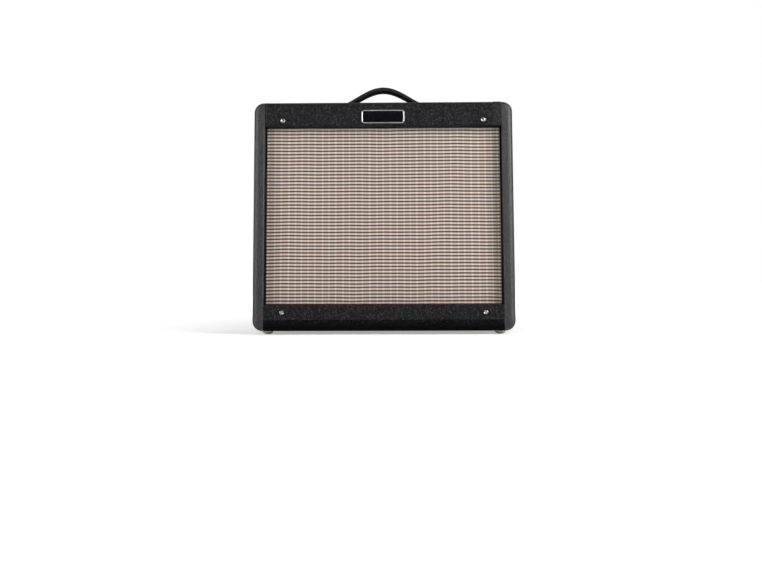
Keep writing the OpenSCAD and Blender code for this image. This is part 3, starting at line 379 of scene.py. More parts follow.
def grille_weave(name):
    """Plastic-coated speaker cloth woven from thick cream cords and thin brown ones, with a pale thread every
    12 mm across and fine brown stitches 4 mm apart in the dark rows. It reads the thread map, in metres, so the
    colours follow the cords where they wander. The cloth is painted dark within 2 mm of its sides and 4 mm under the
    upper rail, as painted shade where the recess shades it."""
    made, tree, shader, coords = base(name, Roughness=0.72, Specular_IOR_Level=0.25, Sheen_Weight=0.08)
    place = add(tree, "SeparateXYZ", links={0: coords.outputs["UV"]})
    across, up = place.outputs[0], place.outputs[1]

    def wave(source, pitch, shift=0.0):
        """A cosine from 0 to 1 with its crest at shift, one crest to a pitch."""
        turn = add(tree, "Math", {"operation": "MULTIPLY_ADD", 1: 2 * math.pi / pitch,
                                  2: -2 * math.pi * shift / pitch}, {0: source})
        crest = add(tree, "Math", {"operation": "COSINE"}, {0: turn})
        return add(tree, "Math", {"operation": "MULTIPLY_ADD", 1: 0.5, 2: 0.5}, {0: crest})

    row_pitch = look().row_pitch
    row = wave(up, row_pitch)
    pale = add(tree, "Math", {"operation": "POWER", 1: 5.0}, {0: wave(across, THREAD_PITCH)})
    half = add(tree, "Math", {"operation": "POWER", 1: 4.0}, {0: wave(across, THREAD_PITCH, THREAD_PITCH / 2)})
    stitch = add(tree, "Math", {"operation": "POWER", 1: 1.6}, {0: wave(across, STITCH_PITCH, STITCH_PITCH / 2)})
    index = add(tree, "Math", {"operation": "FLOOR"},
                {0: add(tree, "Math", {"operation": "DIVIDE", 1: row_pitch}, {0: up})})
    key = add(tree, "CombineXYZ", links={0: add(tree, "Math", {"operation": "MULTIPLY", 1: 55.0}, {0: across}),
                                         1: add(tree, "Math", {"operation": "MULTIPLY", 1: 7.31}, {0: index})})
    lot = add(tree, "TexNoise", {"Scale": 1.0, "Detail": 2.0, "Roughness": 0.7}, {"Vector": key})
    hue = add(tree, "SeparateColor", links={0: lot.outputs["Color"]})
    brown = ramp(tree, hue.outputs[0], [(0.34, "#574a3a"), (0.5, "#5d4f45"), (0.66, "#664a43")])
    cream = ramp(tree, hue.outputs[1], [(0.35, "#beb2a0"), (0.5, "#c1b1a5"), (0.64, "#c3aca4")])
    ivory = ramp(tree, hue.outputs[2], [(0.35, "#f3e9db"), (0.65, "#f8e4da")])
    low = add(tree, "Mix", {"data_type": "RGBA", 7: linear("#a49488")},
              {0: add(tree, "Math", {"operation": "MULTIPLY", 1: 0.3}, {0: pale}), 6: brown})
    dots = add(tree, "Mix", {"data_type": "RGBA", 7: linear("#43362f")},
               {0: add(tree, "Math", {"operation": "MULTIPLY", 1: 0.95}, {0: stitch}), 6: low.outputs[2]})
    spot = add(tree, "Math", {"operation": "MULTIPLY_ADD", 1: 0.7},
               {0: pale, 2: add(tree, "Math", {"operation": "MULTIPLY", 1: 0.3}, {0: half})})
    high = add(tree, "Mix", {"data_type": "RGBA", "clamp_factor": True}, {0: spot, 6: cream, 7: ivory})
    tone = add(tree, "Mix", {"data_type": "RGBA"},
               {0: ramp(tree, row, [(0.2, 0.0), (0.74, 1.0)]), 6: dots.outputs[2], 7: high.outputs[2]})
    hi = span("grille_cloth")[1]
    rail = span("upper_front_rail")[0][2]
    # painted shade: the cloth darkens to #1c1815 within 2 mm of its sides and 4 mm under the upper rail, where the
    # recess shades it
    side_shade_width, rail_shade_width = 2 * MM, 4 * MM
    point = add(tree, "SeparateXYZ", links={0: coords.outputs["Object"]})
    aside = add(tree, "Math", {"operation": "ABSOLUTE"}, {0: point.outputs[0]})
    inset = add(tree, "Math", {"operation": "MULTIPLY_ADD", "use_clamp": True, 1: -1 / side_shade_width, 2: hi[0] / side_shade_width},
                {0: aside})
    below = add(tree, "Math", {"operation": "MULTIPLY_ADD", "use_clamp": True, 1: -1 / rail_shade_width, 2: rail / rail_shade_width},
                {0: point.outputs[2]})
    open_to_light = add(tree, "Math", {"operation": "MINIMUM"}, {0: inset, 1: below})
    recess_painted_shade = add(tree, "Mix", {"data_type": "RGBA", 6: linear("#1c1815")}, {0: open_to_light, 7: tone.outputs[2]})
    join(tree, recess_painted_shade.outputs[2], shader, "Base Color")
    fibre = add(tree, "TexNoise", {"Scale": 2600.0, "Detail": 2.0}, {"Vector": coords.outputs["Object"]})
    twist = wave(across, STITCH_PITCH / 2)
    bump(tree, shader, add(tree, "Math", {"operation": "MULTIPLY_ADD", 1: 0.4}, {0: fibre.outputs[0], 2: twist}),
         0.35, 0.00025)
    return made


def cloth_hem(name):
    """Folded brown edge of the cloth where it turns under the rail: plain woven cotton, dull and warm."""
    made, tree, shader, coords = base(name, Roughness=0.85, Specular_IOR_Level=0.2)
    weave = add(tree, "TexWave", {"Scale": 900.0, "Distortion": 1.5}, {"Vector": coords.outputs["Object"]})
    join(tree, ramp(tree, weave.outputs[0], [(0.2, "#3a2420"), (0.8, "#6b4a40")]), shader, "Base Color")
    bump(tree, shader, weave.outputs[0], 0.4, 0.0002)
    return made


# ---------------------------------------------------------------- finishes: metals

def metal(name, tone, rough, scale=90.0, spread=0.06, **more):
    """A bare metal whose roughness drifts a little from place to place, from handling and uneven plating."""
    made, tree, shader, coords = base(name, Base_Color=tone, Metallic=1.0, **more)
    drift = add(tree, "TexNoise", {"Scale": scale, "Detail": 4.0}, {"Vector": coords.outputs["Object"]})
    join(tree, ramp(tree, drift.outputs[0], [(0.3, max(rough - spread, 0.03)), (0.7, rough + spread)]), shader,
         "Roughness")
    return made, tree, shader, coords


def polished_nickel(name):
    """Nickel-plated steel of screws and cup washers: a bright, slightly warm mirror with fine wear."""
    made, tree, shader, coords = metal(name, "#cbc6bd", 0.08, 400.0, 0.04)
    marks = add(tree, "TexNoise", {"Scale": 3000.0, "Detail": 3.0}, {"Vector": coords.outputs["Object"]})
    bump(tree, shader, marks, 0.06, 0.0001)
    return made


def bright_chrome(name):
    """Chromed zinc casting of the badge's frame and the handle's caps: a clear cool mirror with soft ripples."""
    made, tree, shader, coords = metal(name, "#cfd1d4", 0.09, 120.0, 0.04)
    ripple = add(tree, "TexNoise", {"Scale": 160.0, "Detail": 2.0}, {"Vector": coords.outputs["Object"]})
    bump(tree, shader, ripple, 0.08, 0.0002)
    return made


def glide_nickel(name):
    """Pressed nickel-plated dome under each corner: bright with scuffs of 0.5 mm where it has slid."""
    return metal(name, "#cbc8c2", 0.22, 900.0, 0.1)[0]


def zinc_plate(name):
    """Zinc-plated steel of the magnet's plates, transformer shells and brackets: pale grey crystals of about 4 mm."""
    made, tree, shader, coords = metal(name, "#b4b6b2", 0.34, 250.0)
    grain = add(tree, "TexVoronoi", {"Scale": 260.0}, {"Vector": coords.outputs["Object"]})
    join(tree, ramp(tree, grain.outputs["Color"], [(0.2, "#a3a6a4"), (0.8, "#c3c4bd")]), shader, "Base Color")
    return made


def chassis_steel(name):
    """Cold-rolled plated steel sheet: dull grey with drawn lines along its length, 0.6 mm apart."""
    made, tree, shader, coords = metal(name, "#9d9e9c", 0.38)
    stretch = add(tree, "Mapping", {"Scale": (12.0, 1600.0, 1600.0)}, {"Vector": coords.outputs["Object"]})
    lines = add(tree, "TexNoise", {"Scale": 1.0, "Detail": 3.0}, {"Vector": stretch})
    join(tree, ramp(tree, lines.outputs[0], [(0.3, "#8d8e8d"), (0.7, "#abaca9")]), shader, "Base Color")
    bump(tree, shader, lines.outputs[0], 0.12, 0.0001)
    return made


def pot_can(name):
    """Stamped tin-plated cans and hex nuts: soft grey shine with fine scratches."""
    return metal(name, "#bcbbb5", 0.28, 700.0, 0.1)[0]


def electrode_grey(name):
    """Carbonised nickel plates inside the valves: matt dark grey."""
    return metal(name, "#55565a", 0.55, 500.0)[0]


def getter_silver(name):
    """Barium film flashed inside the top of the glass: a dark mirror that fades down the wall."""
    return metal(name, "#8c8a88", 0.12, 300.0)[0]


def copper_wire(name):
    """Lacquered copper of the voice coil, windings and springs' leads: warm, with each turn 0.3 mm wide."""
    made, tree, shader, coords = metal(name, "#b8683c", 0.3)
    turns = add(tree, "TexWave", {"bands_direction": "Y", "Scale": 520.0}, {"Vector": coords.outputs["Object"]})
    bump(tree, shader, turns.outputs[0], 0.5, 0.0002)
    return made


def spring_wire(name):
    """Music wire of the reverb springs: dark blued steel."""
    return metal(name, "#85878c", 0.3, 600.0)[0]


# ---------------------------------------------------------------- finishes: plastics, glass, paper and boards

def smooth_black_abs(name):
    """Injection-moulded black ABS of knobs, buttons and sockets: satin with a faint spark-eroded texture."""
    made, tree, shader, coords = base(name, Base_Color="#121213", Roughness=0.32, IOR=1.54)
    grain = add(tree, "TexNoise", {"Scale": 2200.0, "Detail": 2.0}, {"Vector": coords.outputs["Object"]})
    bump(tree, shader, grain, 0.12, 0.0001)
    join(tree, ramp(tree, grain.outputs[0], [(0.3, 0.27), (0.7, 0.38)]), shader, "Roughness")
    return made


def badge_lacquer(name):
    """Blue-black stove lacquer of the badge's plate: glossy, with a slight orange-peel wave."""
    made, tree, shader, coords = base(name, Base_Color="#07080c", Roughness=0.26, IOR=1.5, Specular_IOR_Level=0.16)
    peel = add(tree, "TexNoise", {"Scale": 420.0, "Detail": 3.0}, {"Vector": coords.outputs["Object"]})
    bump(tree, shader, peel, 0.25, 0.0003)
    join(tree, ramp(tree, peel.outputs[0], [(0.3, "#030407"), (0.75, "#0c0f18")]), shader, "Base Color")
    return made


def legend_ink(name):
    """White screen-printed ink of the dial marks and the knobs' pointers: flat and slightly chalky."""
    made, tree, shader, coords = base(name, Base_Color="#e9e7e0", Roughness=0.6)
    chalk = add(tree, "TexNoise", {"Scale": 3000.0}, {"Vector": coords.outputs["Object"]})
    join(tree, ramp(tree, chalk.outputs[0], [(0.3, "#dddbd3"), (0.7, "#f0eee8")]), shader, "Base Color")
    return made


def ruby_lens(name):
    """Cut red acrylic of the pilot lamp: deep red that lets light through, with sharp highlights on its facets, and a
    faint painted red glow from a weak emission.
    """
    # painted glow: the weak red emission makes the lens glow although the lamp is not lit
    made, tree, shader, coords = base(name, Base_Color="#c01018", Roughness=0.06, IOR=1.49, Transmission_Weight=0.55,
                                      Emission_Color="#ff2010", Emission_Strength=0.12)
    cloud = add(tree, "TexNoise", {"Scale": 500.0}, {"Vector": coords.outputs["Object"]})
    join(tree, ramp(tree, cloud.outputs[0], [(0.3, "#a80c14"), (0.7, "#d6141c")]), shader, "Base Color")
    return made


def clear_glass(name):
    """Blown glass of the valves: clear and smooth, with a faint waviness."""
    made, tree, shader, coords = base(name, Base_Color="#f4f7f6", Roughness=0.02, IOR=1.5, Transmission_Weight=1.0)
    blown = add(tree, "TexNoise", {"Scale": 120.0}, {"Vector": coords.outputs["Object"]})
    bump(tree, shader, blown, 0.05, 0.0003)
    return made


def mica_sheet(name):
    """Mica spacers in the valves: thin amber-white flakes."""
    made, tree, shader, coords = base(name, Roughness=0.3, IOR=1.56)
    flake = add(tree, "TexNoise", {"Scale": 900.0}, {"Vector": coords.outputs["Object"]})
    join(tree, ramp(tree, flake.outputs[0], [(0.3, "#cfc4a8"), (0.7, "#e8e0cb")]), shader, "Base Color")
    return made


def socket_bakelite(name):
    """Moulded brown phenolic of the valve sockets: satin, with streaks of filler."""
    made, tree, shader, coords = base(name, Roughness=0.4, IOR=1.6)
    streak = add(tree, "TexNoise", {"Scale": 350.0, "Detail": 4.0}, {"Vector": coords.outputs["Object"]})
    join(tree, ramp(tree, streak.outputs[0], [(0.3, "#3a2114"), (0.7, "#5a3722")]), shader, "Base Color")
    return made


def circuit_laminate(name):
    """Green solder mask over glass-fibre laminate, with darker tracks 2 mm wide below it."""
    made, tree, shader, coords = base(name, Roughness=0.3, IOR=1.55)
    track = add(tree, "TexBrick", {"Scale": 90.0, "Mortar Size": 0.03, "Color1": linear("#1d5a33"),
                                   "Color2": linear("#23683c"), "Mortar": linear("#123f23")},
                {"Vector": coords.outputs["Object"]})
    join(tree, track.outputs[0], shader, "Base Color")
    bump(tree, shader, track.outputs["Fac"], 0.3, 0.0001)
    return made


def capacitor_sleeve(name):
    """Heat-shrunk blue PVC sleeve of the filter capacitors: glossy film drawn tight, with slight puckers."""
    made, tree, shader, coords = base(name, Roughness=0.25, IOR=1.53)
    pucker = add(tree, "TexNoise", {"Scale": 260.0, "Detail": 2.0}, {"Vector": coords.outputs["Object"]})
    join(tree, ramp(tree, pucker.outputs[0], [(0.3, "#1c2a55"), (0.7, "#26397a")]), shader, "Base Color")
    bump(tree, shader, pucker, 0.2, 0.0003)
    return made


def basket_paint(name):
    """Black stoving paint on the speaker's pressed basket: semi-gloss with a fine hammered skin of 1.5 mm."""
    made, tree, shader, coords = base(name, Base_Color="#1b1c1e", Roughness=0.36, IOR=1.5)
    skin_of = add(tree, "TexVoronoi", {"Scale": 650.0, "feature": "SMOOTH_F1"}, {"Vector": coords.outputs["Object"]})
    bump(tree, shader, skin_of.outputs[0], 0.2, 0.0002)
    join(tree, ramp(tree, skin_of.outputs[0], [(0.2, 0.32), (0.8, 0.44)]), shader, "Roughness")
    return made


def sintered_ferrite(name):
    """Ground ceramic magnet: dull charcoal with grinding lines and small pale chips."""
    made, tree, shader, coords = base(name, Roughness=0.62, IOR=1.9)
    chip = add(tree, "TexNoise", {"Scale": 1400.0, "Detail": 5.0}, {"Vector": coords.outputs["Object"]})
    join(tree, ramp(tree, chip.outputs[0], [(0.35, "#2b2b2d"), (0.62, "#38383a"), (0.75, "#5a5a5b")]), shader,
         "Base Color")
    bump(tree, shader, chip, 0.25, 0.0002)
    return made


def cone_paper(name):
    """Felted black-brown paper pulp of the speaker cone: matt, with fibres about 2 mm long and a faint mottle."""
    made, tree, shader, coords = base(name, Roughness=0.86, Specular_IOR_Level=0.25)
    fibre = add(tree, "TexNoise", {"Scale": 900.0, "Detail": 6.0, "Distortion": 1.2},
                {"Vector": coords.outputs["Object"]})
    join(tree, ramp(tree, fibre.outputs[0], [(0.3, "#1d1b19"), (0.6, "#2b2825"), (0.8, "#403a34")]), shader,
         "Base Color")
    bump(tree, shader, fibre, 0.5, 0.0003)
    return made


def doped_edge(name):
    """Cone edge painted with a flexible dope: dark and a little tacky-looking, glossier than the paper."""
    made, tree, shader, coords = base(name, Roughness=0.45, IOR=1.48)
    brush = add(tree, "TexNoise", {"Scale": 300.0, "Detail": 3.0}, {"Vector": coords.outputs["Object"]})
    join(tree, ramp(tree, brush.outputs[0], [(0.3, "#191614"), (0.7, "#2a2521")]), shader, "Base Color")
    bump(tree, shader, brush, 0.3, 0.0003)
    return made


def spider_cotton(name):
    """Resin-stiffened cotton of the spider: ochre weave with threads 0.5 mm apart."""
    made, tree, shader, coords = base(name, Roughness=0.75)
    weave = add(tree, "TexChecker", {"Scale": 2000.0, "Color1": linear("#b08a4e"), "Color2": linear("#8f6c38")},
                {"Vector": coords.outputs["Object"]})
    join(tree, weave.outputs[0], shader, "Base Color")
    bump(tree, shader, weave.outputs["Fac"], 0.4, 0.0002)
    return made


def cable_jacket(name):
    """Soft black PVC of the leads inside: matt with a faint lengthwise draw."""
    made, tree, shader, coords = base(name, Base_Color="#161617", Roughness=0.48)
    drawn = add(tree, "TexNoise", {"Scale": 400.0, "Detail": 2.0}, {"Vector": coords.outputs["Object"]})
    bump(tree, shader, drawn, 0.2, 0.0002)
    join(tree, ramp(tree, drawn.outputs[0], [(0.3, 0.42), (0.7, 0.56)]), shader, "Roughness")
    return made


def stained_particleboard(name):
    """Particleboard baffle brushed with black stain: chips of 2 to 5 mm show through the thin coat."""
    made, tree, shader, coords = base(name, Roughness=0.8)
    chips = add(tree, "TexVoronoi", {"Scale": 320.0, "Randomness": 1.0}, {"Vector": coords.outputs["Object"]})
    join(tree, ramp(tree, chips.outputs["Color"], [(0.1, "#17140f"), (0.6, "#2a241b"), (0.95, "#4a3f2e")]), shader,
         "Base Color")
    bump(tree, shader, chips.outputs[0], 0.3, 0.0004)
    return made


def planed_pine(name):
    """Planed pine of the cleats, oiled brown: grain lines 3 mm apart along X."""
    made, tree, shader, coords = base(name, Roughness=0.6)
    stretch = add(tree, "Mapping", {"Scale": (0.6, 10.0, 10.0)}, {"Vector": coords.outputs["Object"]})
    grain = add(tree, "TexWave", {"Scale": 11.0, "Distortion": 4.0, "Detail": 3.0}, {"Vector": stretch})
    join(tree, ramp(tree, grain.outputs[0], [(0.2, "#7c5a34"), (0.7, "#9c774a")]), shader, "Base Color")
    bump(tree, shader, grain.outputs[0], 0.1, 0.0002)
    return made


def transformer_shell(name):
    """Black enamelled laminations and end bells: layers 0.5 mm thick show as fine lines up Z."""
    made, tree, shader, coords = base(name, Base_Color="#1a1a1b", Roughness=0.4)
    layer = add(tree, "TexWave", {"bands_direction": "X", "Scale": 160.0}, {"Vector": coords.outputs["Object"]})
    bump(tree, shader, layer.outputs[0], 0.2, 0.0002)
    join(tree, ramp(tree, layer.outputs[0], [(0.2, 0.36), (0.8, 0.5)]), shader, "Roughness")
    return made


def studio_floor(name):
    """Matt pale floor of painted boards, nearly white, with a barely visible roller mottle."""
    made, tree, shader, coords = base(name, Roughness=0.9, Specular_IOR_Level=0.1, Emission_Color="#ffffff")
    far = add(tree, "VectorMath", {"operation": "LENGTH"}, {0: coords.outputs["Object"]})
    glow = add(tree, "MapRange", {1: 0.3, 2: 1.3, 3: 0.4, 4: 1.0}, {0: far.outputs["Value"]})
    eye = add(tree, "LightPath")
    join(tree, add(tree, "Math", {"operation": "MULTIPLY"}, {0: glow, 1: eye.outputs["Is Camera Ray"]}), shader,
         "Emission Strength")
    mottle = add(tree, "TexNoise", {"Scale": 3.0}, {"Vector": coords.outputs["Object"]})
    join(tree, ramp(tree, mottle.outputs[0], [(0.3, "#f0f0ee"), (0.7, "#f5f5f4")]), shader, "Base Color")
    return made


# ---------------------------------------------------------------- sizes and colours that a user would change

class AmplifierLook(bpy.types.PropertyGroup):
    """Sizes and colours of the pieces that are added on the frame."""

    row_pitch: bpy.props.FloatProperty(
        name="Cord pitch", description="Distance between two thick cords of the grille cloth",
        default=ROW_PITCH, min=3 * MM, max=12 * MM, unit="LENGTH")
    cord_relief: bpy.props.FloatProperty(
        name="Cord relief", description="How far the thick cords stand out of the cloth",
        default=0.42 * MM, min=0.0, max=1.0 * MM, unit="LENGTH")
    cord_wander: bpy.props.FloatProperty(
        name="Cord wander", description="How far the cords stray from straight lines",
        default=0.75 * MM, min=0.0, max=3 * MM, unit="LENGTH")
    lap_width: bpy.props.FloatProperty(
        name="Lap width", description="Width of the strip where two sheets of vinyl overlap",
        default=15 * MM, min=4 * MM, max=30 * MM, unit="LENGTH")
    lap_rise: bpy.props.FloatProperty(
        name="Lap rise", description="How far the overlapping vinyl stands proud",
        default=0.7 * MM, min=0.1 * MM, max=1.5 * MM, unit="LENGTH")
    key_power: bpy.props.FloatProperty(
        name="Right softbox", description="Power of the softbox at the right", default=31.0, min=0.0, unit="POWER")
    fill_power: bpy.props.FloatProperty(
        name="Left softbox", description="Power of the softbox at the left", default=20.0, min=0.0, unit="POWER")
    ambient: bpy.props.FloatProperty(
        name="Ambient", description="Strength of the light from all round", default=0.07, min=0.0, subtype="FACTOR")
    backdrop: bpy.props.FloatVectorProperty(
        name="Backdrop", description="Colour seen behind the amplifier", subtype="COLOR", size=4, min=0.0, max=1.0,
        default=(1.0, 1.0, 1.0, 1.0))


def look():
    """The sizes and colours in use."""
    return bpy.context.scene.amplifier


# ---------------------------------------------------------------- stage

class AMPLIFIER_OT_stage(bpy.types.Operator):
    """Camera, floor, soft lights and backdrop"""
    bl_idname = "amplifier.stage"
    bl_label = "Stage"

    def execute(self, context):
        """The camera stands low, a little right of the middle, and looks slightly up and left."""
        scene = context.scene
        scene.view_settings.view_transform = "Standard"
        yaw, pitch, roll = (math.radians(a) for a in (-0.85, 4.93, -0.18))
        ahead = np.array([math.sin(yaw) * math.cos(pitch), math.cos(yaw) * math.cos(pitch), math.sin(pitch)])
        right = np.array([math.cos(yaw), -math.sin(yaw), 0.0])
        above = np.cross(right, ahead)
        right, above = (math.cos(roll) * right + math.sin(roll) * above,
                        math.cos(roll) * above - math.sin(roll) * right)
        front = span("upper_front_rail")[0][1]
        data = bpy.data.cameras.new("Camera")
        data.lens, data.sensor_width, data.shift_y = 38.03, 36.0, -0.0965
        data.clip_start, data.clip_end = 0.02, 60.0
        camera = bpy.data.objects.new("Camera", data)
        place = np.eye(4)
        place[:3, :3] = np.stack([right, above, -ahead], 1)
        place[:3, 3] = (16.8 * MM, front - 1399.9 * MM, 99.4 * MM)
        camera.matrix_world = Matrix(place.tolist())
        scene.collection.objects.link(camera)
        scene.camera = camera

        world = bpy.data.worlds.new("Studio")
        scene.world = world
        world.use_nodes = True
        tree = world.node_tree
        tree.nodes.clear()
        room = add(tree, "Background", {"Color": linear("#f4f6fa"), "Strength": look().ambient})
        seen = add(tree, "Background", {"Color": tuple(look().backdrop), "Strength": 1.0})
        eye = add(tree, "LightPath")
        both = add(tree, "MixShader", links={0: eye.outputs["Is Camera Ray"], 1: room, 2: seen})
        out = add(tree, "OutputWorld")
        tree.links.new(both.outputs[0], out.inputs["Surface"])

        for name, spot, aim, size, power in (
                ("Right softbox", (1.5, -0.9, 0.85), (0.1, -0.1, 0.22), (0.7, 1.3), look().key_power),
                ("Left softbox", (-1.55, -0.85, 0.8), (-0.1, -0.1, 0.22), (0.7, 1.3), look().fill_power),
                ("Front scrim", (0.1, -2.3, 1.5), (0.0, -0.1, 0.2), (1.6, 0.8), 5.0),
                ("Overhead", (0.0, 0.9, 2.4), (0.0, 0.2, 0.0), (2.4, 1.6), 9.0),
                ("Back softbox", (0.5, 2.3, 1.75), (0.0, 0.1, 0.25), (2.4, 1.2), 13.0)):
            lamp = bpy.data.lights.new(name, "AREA")
            lamp.shape, lamp.size, lamp.size_y, lamp.energy = "RECTANGLE", *size, power
            made = bpy.data.objects.new(name, lamp)
            back = np.array(spot, float) - np.array(aim, float)
            back /= np.linalg.norm(back)
            side = np.cross((0, 0, 1.0), back)
            side /= np.linalg.norm(side)
            frame_of = np.eye(4)
            frame_of[:3, :3] = np.stack([side, np.cross(back, side), back], 1)
            frame_of[:3, 3] = spot
            made.matrix_world = Matrix(frame_of.tolist())
            scene.collection.objects.link(made)

        # Floor: a plane with a barely raised rim, so that it has a size of its own
        t, r = np.meshgrid(np.linspace(0, 2 * math.pi, 96, endpoint=False), np.linspace(0.0001, 9.0, 12))
        rings = np.stack([r * np.cos(t), 2 + r * np.sin(t), np.zeros_like(r)], -1)
        top = skin(np.concatenate([rings, rings[-1:] - [0, 0, 0.02]]))
        mesh = bpy.data.meshes.new("floor")
        mesh.from_pydata(top[0].tolist(), [], [*top[1].tolist(), *top[2].tolist()])
        mesh.materials.append(finish(studio_floor))
        floor = bpy.data.objects.new("floor", mesh)
        scene.collection.objects.link(floor)
        floor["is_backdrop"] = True
        return {"FINISHED"}


# ---------------------------------------------------------------- cabinet and front

class AMPLIFIER_OT_cabinet(bpy.types.Operator):
    """Vinyl on the boards, and the laps where its sheets meet"""
    bl_idname = "amplifier.cabinet"
    bl_label = "Cabinet covering"

    def execute(self, context):
        """A lap follows the board round the top front edge: up the rail, a quarter circle, and back along the top."""
        dress(["side_panel_left", "side_panel_right"], wrapped_vinyl)
        dress(["bottom_panel"], shaded_base_vinyl)
        dress(["top_panel", "upper_front_rail", "lower_front_rail", "upper_back_panel",
               "lower_back_panel"], pebbled_vinyl)
        dress(["baffle_board"], stained_particleboard)
        dress(["panel_cleats"], planed_pine)
        rail_lo, rail_hi, _ = span("upper_front_rail")
        top_lo, top_hi, _ = span("top_panel")
        edge = 10 * MM
        turn = np.linspace(0, math.pi / 2, 12)
        front, roof = top_lo[1], top_hi[2]
        face = np.linspace(rail_lo[2] + 0.4 * MM, roof - edge, 24)
        back = np.linspace(front + edge, top_hi[1] - edge, 60)
        y = np.concatenate([np.full(24, front), front + edge - edge * np.cos(turn[1:]), back[1:]])
        z = np.concatenate([face, roof - edge + edge * np.sin(turn[1:]), np.full(59, roof)])
        for name, x, width, rise in (
                ("vinyl_lap_right", rail_hi[0] - look().lap_width / 2 + 0.4 * MM, look().lap_width, look().lap_rise),
                ("vinyl_seam_left", rail_lo[0] + 2.4 * MM, 2.2 * MM, 0.25 * MM)):
            wave = 0.12 * MM * (width > 5 * MM) * np.sin(np.arange(len(y)) * 1.3) * np.exp(-((y - front) / 0.03) ** 2)
            path = np.stack([np.full(len(y), x) + wave, y, z], 1)
            u = np.linspace(-1, 1, 17)
            crown = rise * (1 - np.abs(u) ** 6) + rise * 0.12 * np.cos(9 * u) * (np.abs(u) < 0.9)
            section = np.concatenate([np.stack([u * width / 2, crown], 1),
                                      np.stack([u[::-1] * width / 2, np.full(17, -0.3 * MM)], 1)])
            piece(name, [skin(lap_rings(path, section))], [lapped_vinyl])
        return {"FINISHED"}


def lap_rings(path, section):
    """Carries a section along a path in the Y and Z plane: its first axis stays along X, and its second is the
    direction a quarter turn from the path, which points away from the board."""
    along = np.gradient(path, axis=0)
    along /= np.linalg.norm(along, axis=1, keepdims=True)
    out = np.stack([0 * along[:, 0], -along[:, 2], along[:, 1]], 1)
    return (path[:, None] + section[None, :, :1] * np.array([1.0, 0, 0]) + section[None, :, 1:] * out[:, None])


class AMPLIFIER_OT_grille(bpy.types.Operator):
    """Woven grille cloth and its folded lower edge"""
    bl_idname = "amplifier.grille"
    bl_label = "Grille cloth"

    def execute(self, context):
        """Depth of the cloth at a point = relief x (crest of a cosine across the rows) ^ 0.7, sunk a little
        where the pale threads cross. Columns stand unevenly by three fixed sines of X. Rows wander by a sum of
        long seeded sines, and the thread map wanders with them. ROW_SHIFT sets where the first row falls."""
        lo, hi, _ = span("grille_cloth")
        across, rows = 205, 362
        x, z = np.meshgrid(np.linspace(lo[0], hi[0], across), np.linspace(lo[2], hi[2], rows))
        pick = np.random.default_rng(11)
        wander = np.zeros((2, rows, across))
        for size in (0.05, 0.085, 0.14, 0.26):
            for k in range(2):
                turn = pick.uniform(-0.5, 0.5)
                along = x * math.cos(turn) + z * math.sin(turn) * 0.5
                wander[k] += (size / 0.26) ** 0.5 * np.sin(2 * math.pi / size * along + pick.uniform(0, 6.28))
        v = z + ROW_SHIFT + wander[0] * look().cord_wander * 0.33
        drift = sum(a * np.sin(2 * math.pi * x / p + s) for a, p, s in
                    ((0.6, 0.047, 0.4), (0.4, 0.0291, 2.1), (0.5, 0.083, 4.4)))
        u = x + drift * MM + wander[1] * look().cord_wander * 0.25
        crest = 0.5 + 0.5 * np.cos(2 * math.pi * v / look().row_pitch)
        pinch = (0.5 + 0.5 * np.cos(2 * math.pi * u / (THREAD_PITCH))) ** 4
        lift = look().cord_relief * (crest ** 0.7 - 0.12 * pinch * (1 - crest))
        y = lo[1] + look().cord_relief + 0.05 * MM - lift
        front = np.stack([x, y, z], -1)
        behind = np.stack([x[:, [-1, 0]], np.full((rows, 2), hi[1]), z[:, [-1, 0]]], -1)
        rings = np.concatenate([front, behind], 1)
        thread = np.concatenate([np.stack([u, v], -1), np.stack([u[:, [-1, 0]], v[:, [-1, 0]]], -1)], 1).reshape(-1, 2)
        thread = np.vstack([thread, thread[[0, -1]]])
        cloth = piece("grille_weave", [skin(rings)], [grille_weave], instead=["grille_cloth"],
                      sharp=70, uv=thread)
        rail_hi = span("lower_front_rail")[1]
        side = np.linspace(lo[0] + 1 * MM, hi[0] - 1 * MM, 240)
        path = np.stack([side, np.full(240, lo[1] - 0.9 * MM),
                         rail_hi[2] + 0.55 * MM + 0.12 * MM * np.sin(side * 320)], 1)
        hem = piece("cloth_lower_fold", [carry(path, ring_xy(0.9 * MM, 10))], [cloth_hem])
        return {"FINISHED"}


# ---------------------------------------------------------------- screws, badge, glides and handle

def cup(outer, height, bore):
    """Pressed cup washer on Z = 0: its profile is a closed loop that rises outside in a quarter round and falls
    inside as a cone to the bore."""
    t = np.linspace(0, math.pi / 2, 6)
    rim = outer * 0.16
    outside = np.stack([outer - rim + rim * np.cos(t), 0.15 * height + 0.85 * height * np.sin(t)], 1)
    profile = np.vstack([[outer, 0], outside, [[outer - 1.5 * rim, height * 0.93], [bore + 0.25 * MM, height * 0.3],
                                              [bore, height * 0.2], [bore, 0]]])
    return lathe(profile, 36, loop=True)


